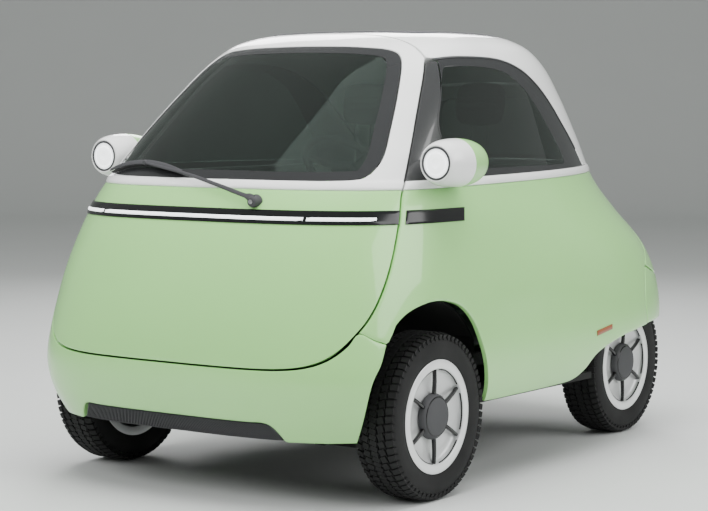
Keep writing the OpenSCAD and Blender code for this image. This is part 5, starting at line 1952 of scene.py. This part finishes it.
@dataclass
class Seats:
    """The bench for two: cushions, backs and headrests, each a padded piece."""

    half: float = 478.0
    lean: float = 8.0

    def leaning(self) -> Matrix:
        """Placement of the seat back, which leans rearwards."""
        return Matrix.Translation((0, 0.020, 0.400)) @ Matrix.Rotation(math.radians(-self.lean), 4, "X")

    def build(self) -> None:
        """Make the bench."""
        up = Vector((0, 0, 1))
        for side, name in ((1, "left"), (-1, "right")):
            a, b = (12, self.half - 12) if side > 0 else (-self.half + 12, -12)
            pad = cushion(f"seat_cushion_{name}", (a, -356, 408), (b, 0, 512), Finishes.SEAT, 4.0, 26)
            mid = (side * 0.245, -0.18, 0.47)
            pressed(pad, up, mid, [((1, 0, 0), -0.145), ((1, 0, 0), 0.145), ((0, 1, 0), 0.10)], 0.006, 0.007)
            settle(pad, Body.CAR, "seat", *(["seat_cushion"] if side > 0 else []))
            tilt = self.leaning()
            pad = cushion(f"seat_back_{name}", (a, 12, 14), (b, 98, 548), Finishes.SEAT, 4.0, 26, tilt)
            n = tilt.to_3x3() @ Vector((0, -1, 0))
            z = tilt.to_3x3() @ Vector((0, 0, 1))
            mid = tilt @ Vector((side * 0.245, 0.055, 0.28))
            pressed(pad, n, mid, [((1, 0, 0), -0.145), ((1, 0, 0), 0.145), (z, 0.19), (z, -0.17)], 0.006, 0.007)
            settle(pad, Body.CAR, "seat", *(["seat_back"] if side > 0 else []))
            self.headrest(side, name)
        base = box_mesh("seat_base", (-458, -348, 345), (458, -8, 398), Finishes.UNDER, 6)
        legs = box_mesh("seat_back_base", (-418, 64, 216), (418, 116, 396), Finishes.UNDER, 6)
        settle(join([base, legs], "seat_frame"), Body.CAR, "seat")

    def headrest(self, side: int, name: str) -> None:
        """One headrest on two bright posts, with three sewn lines in front."""
        tilt = self.leaning() @ Matrix.Translation((side * 0.252, 0.055, 0.860))
        n = tilt.to_3x3() @ Vector((0, -1, 0))
        z = tilt.to_3x3() @ Vector((0, 0, 1))
        pad = cushion(f"headrest_{name}", (-98, -32, -78), (98, 32, 78), Finishes.SIDE, 3.0, 31, None, 0.005, 0.009)
        made = bmesh.new()
        made.from_mesh(pad.data)
        for v in made.verts:
            x, q = v.co.x / 0.105, v.co.z / 0.0835
            r = (abs(x) ** 3.2 + abs(q) ** 3.2) ** (1 / 3.2)
            e = math.hypot(x, q)
            if e > 1e-6:
                k = r / e * 0.55 + 0.45
                v.co.x *= k
                v.co.z *= k
        made.to_mesh(pad.data)
        made.free()
        pad.data.transform(tilt)
        pressed(pad, n, tilt @ Vector((0, 0, 0)), [(z, -0.022), (z, 0.0), (z, 0.022)], 0.0022, 0.0035)
        settle(pad, Body.CAR, "seat", *(["headrests"] if side > 0 else []))
        posts = []
        for k in (-34, 34):
            pts = np.array([np.array(tilt @ Vector((k * MM, 0, q * MM))) / MM for q in np.linspace(-318, -70, 12)])
            posts.append(swept(f"post_{k}", pts, lambda f: (6.0, 6.0), Finishes.CHROME, 20, up=(0, -1, 0)))
            foot = np.array([np.array(tilt @ Vector((k * MM, 0, q * MM))) / MM for q in np.linspace(-312, -288, 5)])
            posts.append(swept(f"guide_{k}", foot, lambda f: (11.0, 11.0), Finishes.BLACK, 20, up=(0, -1, 0)))
        settle(join(posts, f"headrest_posts_{name}"), Body.CAR, "seat")


@dataclass
class Controls:
    """The steering wheel, its column and the small instrument panel."""

    centre: tuple[float, float, float] = (262.0, -640.0, 1025.0)
    tilt: float = 45.0
    radius: float = 160.0

    def frame_at(self) -> Matrix:
        """Placement of the steering wheel in metres."""
        return Matrix.Translation(Vector(self.centre) * MM) @ Matrix.Rotation(math.radians(-self.tilt), 4, "X")

    def moved(self, obj: bpy.types.Object) -> bpy.types.Object:
        """Put a wheel-centred mesh on the column."""
        obj.data.transform(self.frame_at())
        return obj

    def build(self) -> None:
        """Make the wheel and the panel."""
        a = np.linspace(0, 2 * math.pi, 97)[:-1]
        r = self.radius - 12.5
        ring = []
        for t in a:
            c, s = math.cos(t), math.sin(t)
            q = np.linspace(0, 2 * math.pi, 20, endpoint=False)
            out = r + 12.3 * (1 + 0.05 * math.cos(3 * t)) / 1.05 * np.cos(q)
            ring.append(np.stack([out * c, out * s, 12.0 * np.sin(q)], -1))
        faces = []
        for i in range(96):
            near, far = i * 20, (i + 1) % 96 * 20
            faces += [[near + j, far + j, far + (j + 1) % 20, near + (j + 1) % 20] for j in range(20)]
        rim = mesh_object("wheel_ring", np.concatenate(ring), faces, Finishes.GRIP)
        recalc(rim)
        parts = [rim]
        for k, ang in enumerate((90, 210, 330)):
            t = math.radians(ang)
            f = np.linspace(0, 1, 14)
            out = 34 + f * (r - 40)
            pts = np.stack([out * math.cos(t), out * math.sin(t), -3 - 5 * np.sin(np.pi * f)], -1)
            parts.append(swept(f"wheel_spoke_{k}", pts, lambda f: (17 - 6 * math.sin(math.pi * f), 5.0),
                               Finishes.BLACK, 16))
        hub = box_mesh("wheel_hub", (-50, -38, -22), (50, 38, 11), Finishes.BLACK, 14, 5)
        parts.append(hub)
        pts = np.stack([np.zeros(8), np.zeros(8), np.linspace(-60, -16, 8)], -1)
        parts.append(swept("column_end", pts, lambda f: (15.5, 15.5), Finishes.BLACK, 24, up=(0, 1, 0)))
        settle(self.moved(join(parts, "steering_wheel_assembly")), Body.STEERING, "trim_black", "steering_wheel")
        pts = np.stack([np.zeros(10), np.zeros(10), np.linspace(-150, -62, 10)], -1)
        column = self.moved(swept("column_sleeve", pts, lambda f: (36 - 5 * f, 33 - 4 * f), Finishes.BLACK, 28,
                                  up=(0, 1, 0)))
        board = box_mesh("board", (122, -812, 907), (548, -682, 963), Finishes.DASH, 16, 5)
        hood = box_mesh("instrument_hood", (150, -812, 960), (246, -764, 1014), Finishes.DASH, 9, 4)
        glass = box_mesh("instrument_glass", (157, -768, 972), (239, -762.5, 1008), Finishes.GLOSS, 3, 3)
        settle(join([column, board, hood, glass], "instrument_panel"), Body.CAR, "trim_black", "dashboard")
        self.door_trim()

    def door_trim(self) -> None:
        """The padded ledge and grab rail on the inside of the front door."""
        z = 1000.0
        f = np.linspace(-1, 1, 70)
        base = SKIN.front(np.stack([f * 470, np.full(70, z - 12)], -1))
        p = on_skin(base)
        n = SKIN.normal(base[:, 0], base[:, 1])
        flat = n * [1, 1, 0]
        flat /= np.linalg.norm(flat, axis=1, keepdims=True)
        path = p - 62 * flat
        ledge = swept("door_ledge", path, lambda f: (26, 13), Finishes.DASH, 20)
        settle(ledge, Body.DOOR, "trim_black")
        path = path[15:-15]
        rail = path - 46 * flat[15:-15] + np.array([0, 0, -46.0])
        inset = np.interp(np.linspace(0, 1, len(rail)), [0, 0.12, 0.88, 1], [52, 0, 0, 52])
        rail = rail + flat[15:-15] * inset[:, None]
        settle(swept("door_grab_rail", rail, lambda f: (9, 9), Finishes.CHROME, 16), Body.DOOR, "trim_black")


# ---------------------------------------------------------------- carried-over nodes and the studio


class CarriedNodes:
    """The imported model's own nodes that stay, each in its finish."""

    FINISH = {
        "floor_pan": Finishes.UNDER, "front_tub": Finishes.UNDER, "rear_deck": Finishes.CARPET,
        "battery_pack": Finishes.CASE, "motor_unit": Finishes.CASE, "front_crossmember": Finishes.IRON,
        "rear_axle": Finishes.IRON, "knuckle_left": Finishes.IRON, "knuckle_right": Finishes.IRON,
    }

    def build(self) -> None:
        """Give each node its material."""
        for name, finish in self.FINISH.items():
            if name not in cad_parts:
                continue
            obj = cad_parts[name]
            for slot in obj.material_slots:
                slot.material = finish.material()
            if not obj.material_slots:
                obj.data.materials.append(finish.material())
            LOG.info("%s keeps its shape, in %s", name, finish.name)


@dataclass
class Studio:
    """The floor, the lamps and the camera."""

    azimuth: float = 35.44
    elevation: float = 4.22
    roll: float = 0.19
    distance: float = 7.2845
    target: tuple[float, float, float] = (-0.1256, -0.0549, 0.6948)
    lens: float = 102.0
    sky: tuple[float, float, float] = (0.80, 0.83, 0.81)

    def floor(self) -> None:
        """A plain pale floor that runs up into a backdrop."""
        profile = [(-22.0, 0.0)] + [(15.0 + 4.5 * math.sin(a), 4.5 - 4.5 * math.cos(a))
                                    for a in np.linspace(0, math.pi / 2, 24)] + [(19.5, 14.0)]
        verts, faces = [], []
        n = len(profile)
        turn = math.radians(self.azimuth)
        c, s = math.cos(turn), math.sin(turn)
        for side in (-22.0, 22.0):
            verts += [(side * c - d * s, side * s + d * c, z) for d, z in profile]
        for i in range(n - 1):
            faces.append([i, n + i, n + i + 1, i + 1])
        mesh = bpy.data.meshes.new("studio_floor")
        mesh.from_pydata(verts, [], faces)
        mesh.polygons.foreach_set("use_smooth", [True] * len(mesh.polygons))
        mesh.materials.append(Finish("studio_floor", Kind.PLASTIC, (0.60, 0.615, 0.605), 0.55, (0.59, 0.605, 0.595),
                                     1.5, 0.001).material())
        obj = bpy.data.objects.new("studio_floor", mesh)
        bpy.context.scene.collection.objects.link(obj)

    def lamp(self, name: str, place: Points, aim: Points, size: tuple[float, float], power: float,
             mirrored: bool = True) -> None:
        """One soft rectangular lamp.

        Args:
            name: the lamp's name.
            place: where it stands, in metres.
            aim: the point it faces.
            size: its width and height.
            power: its power in watts.
            mirrored: whether glossy surfaces show it.
        """
        data = bpy.data.lights.new(name, "AREA")
        data.shape = "RECTANGLE"
        data.size, data.size_y = size
        data.energy = power
        obj = bpy.data.objects.new(name, data)
        obj.location = place
        obj.rotation_euler = (Vector(aim) - Vector(place)).to_track_quat("-Z", "Y").to_euler()
        obj.visible_glossy = mirrored
        bpy.context.scene.collection.objects.link(obj)

    def camera(self) -> None:
        """The camera at the front left corner, low and far."""
        az, el = math.radians(self.azimuth), math.radians(self.elevation)
        away = Vector((math.cos(el) * math.sin(az), -math.cos(el) * math.cos(az), math.sin(el)))
        data = bpy.data.cameras.new("camera")
        data.lens = self.lens
        data.sensor_width = 36.0
        data.clip_end = 200.0
        obj = bpy.data.objects.new("camera", data)
        obj.location = Vector(self.target) + away * self.distance
        turn = (-away).to_track_quat("-Z", "Y").to_matrix() @ Matrix.Rotation(math.radians(self.roll), 3, "Z")
        obj.rotation_euler = turn.to_euler()
        bpy.context.scene.collection.objects.link(obj)
        bpy.context.scene.camera = obj

    def build(self) -> None:
        """Set up the floor, the light and the camera."""
        self.floor()
        world = bpy.data.worlds.new("studio")
        world.use_nodes = True
        world.node_tree.nodes["Background"].inputs["Color"].default_value = (*self.sky, 1)
        world.node_tree.nodes["Background"].inputs["Strength"].default_value = 0.5
        bpy.context.scene.world = world
        self.lamp("overhead", (0.6, -0.4, 5.2), (0, 0, 0.6), (5.5, 4.0), 520, False)
        self.lamp("front_key", (-1.6, -7.0, 5.6), (0, -0.6, 0.9), (9.0, 4.5), 560, False)
        self.lamp("side_fill", (7.0, 1.0, 4.4), (0.2, 0.2, 0.8), (8.0, 4.0), 420)
        self.lamp("rear_rim", (-3.5, 4.5, 3.8), (0, 0.4, 0.8), (3.0, 2.0), 160)
        self.camera()


def main() -> None:
    """Build the car, piece by piece."""
    logging.basicConfig(level=logging.INFO, format="%(message)s")
    Studio().build()
    for part in PARTS:
        part().build()
        LOG.info("%s done", part.__name__)


PARTS = (FrontDoor, Bumpers, BodySides, RoofShell, SideGlass, Tailgate, Wheels, MirrorPods, Wiper, FoldingTop, Seats,
         Controls, CarriedNodes)

if __name__ == "__main__":
    main()
